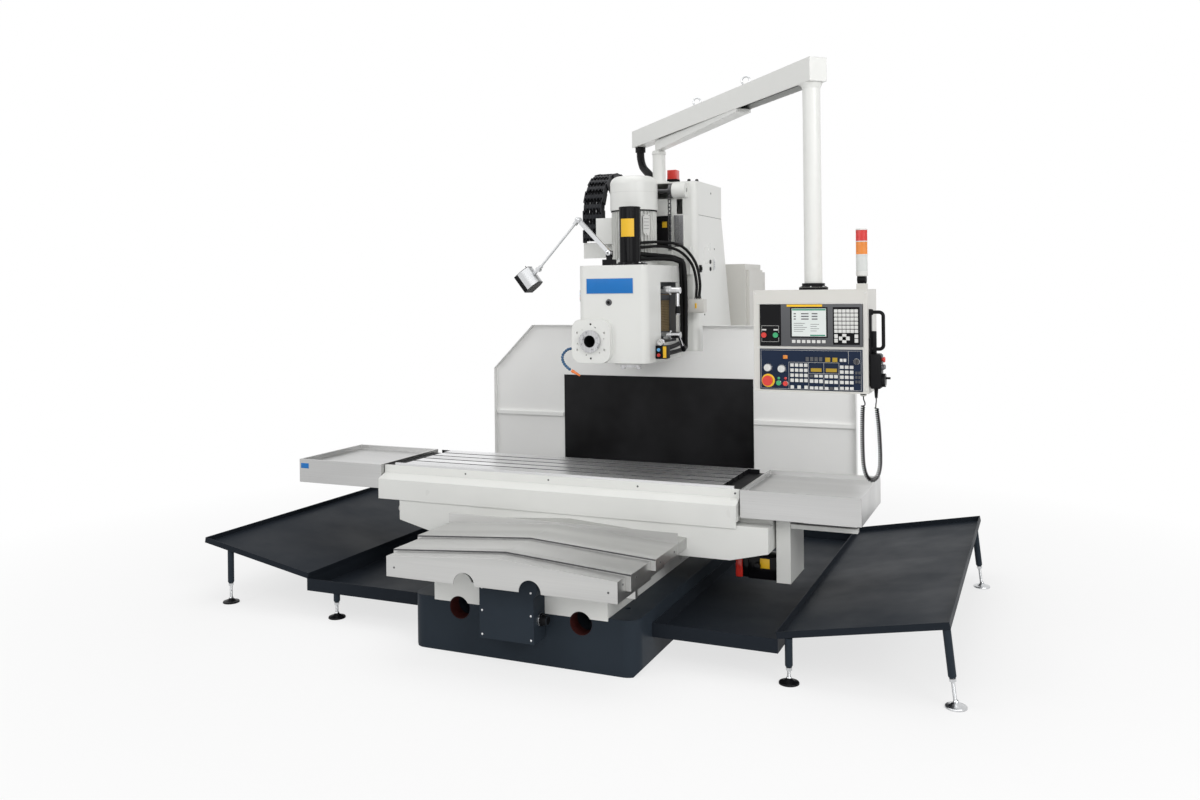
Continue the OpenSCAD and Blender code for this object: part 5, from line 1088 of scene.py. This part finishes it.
piece("door", "door_louvres", "cream", Shape().boxes(*louvres((383.2, 386.4), (1900, 2080), 360, 16, 14, 7)))
fixed("cooler_louvres", "cream", Shape().boxes(
    *louvres((170, 330), (2367.8, 2371), 1180, 18, 16, 8), *louvres((349.8, 353), (2206, 2352), 1520, 16, 16, 7)))

# ---- stage and light ----

WHITE = (1, 1, 1, 1)
FLOOR_HALF = 40


def seen(n, *kinds):
    """Whether a ray comes from the camera or is of one of the kinds."""
    rays = n.add("LightPath")
    value = rays.outputs["Is Camera Ray"]
    for kind in kinds:
        value = n.math("MAXIMUM", value, rays.outputs[f"Is {kind} Ray"])
    return value


bm = bmesh.new()
bmesh.ops.create_grid(bm, x_segments=1, y_segments=1, size=FLOOR_HALF)
floor_mesh = bpy.data.meshes.new("floor")
bm.to_mesh(floor_mesh)
bm.free()
floor = new_object("floor", floor_mesh)
floor.location = (0, 0, -0.002)
# White paper: part of what is seen is its own light, all of it far from the machine
n = Nodes(bpy.data.materials.new("floor_paper"))
paper = n.add("BsdfDiffuse", Color=(0.88, 0.88, 0.88, 1))
glow = n.add("Emission", Color=WHITE, Strength=1.0)
length = n.add("VectorMath", _operation="LENGTH")
n.link(n.coords(), length.inputs[0])
share = n.span(length.outputs["Value"], 0.72, 1.0, 2.2, 4.6)
n.show(n.math("MULTIPLY", share, seen(n, "Glossy")), paper, glow)
floor_mesh.materials.append(n.mat)

SKY = 0.52
world = bpy.data.worlds.new("studio")
scene.world = world
n = Nodes(world, "OutputWorld")
n.show(seen(n, "Glossy", "Transmission"), n.add("Background", Color=WHITE, Strength=SKY),
       n.add("Background", Color=WHITE, Strength=1.0))


def area_light(name, at, target, size, power):
    data = bpy.data.lights.new(name, "AREA")
    data.shape = "RECTANGLE"
    data.size, data.size_y = size
    data.energy = power
    obj = new_object(name, data)
    obj.location = at
    obj.rotation_euler = (Vector(target) - Vector(at)).to_track_quat("-Z", "Y").to_euler()


area_light("key", (6.5, -4.5, 4.5), (0, 0.4, 1.2), (4, 3), 220)
area_light("fill", (-4.5, -5.5, 5.5), (0, 0, 1.0), (4, 3), 100)
area_light("front", (3.0, -11.0, 4.5), (0, 0.6, 1.0), (8, 5), 170)
area_light("top", (0, 0.5, 6.5), (0, 0.4, 0), (5, 4), 90)

# ---- last update of the scene ----

bpy.context.view_layer.update()
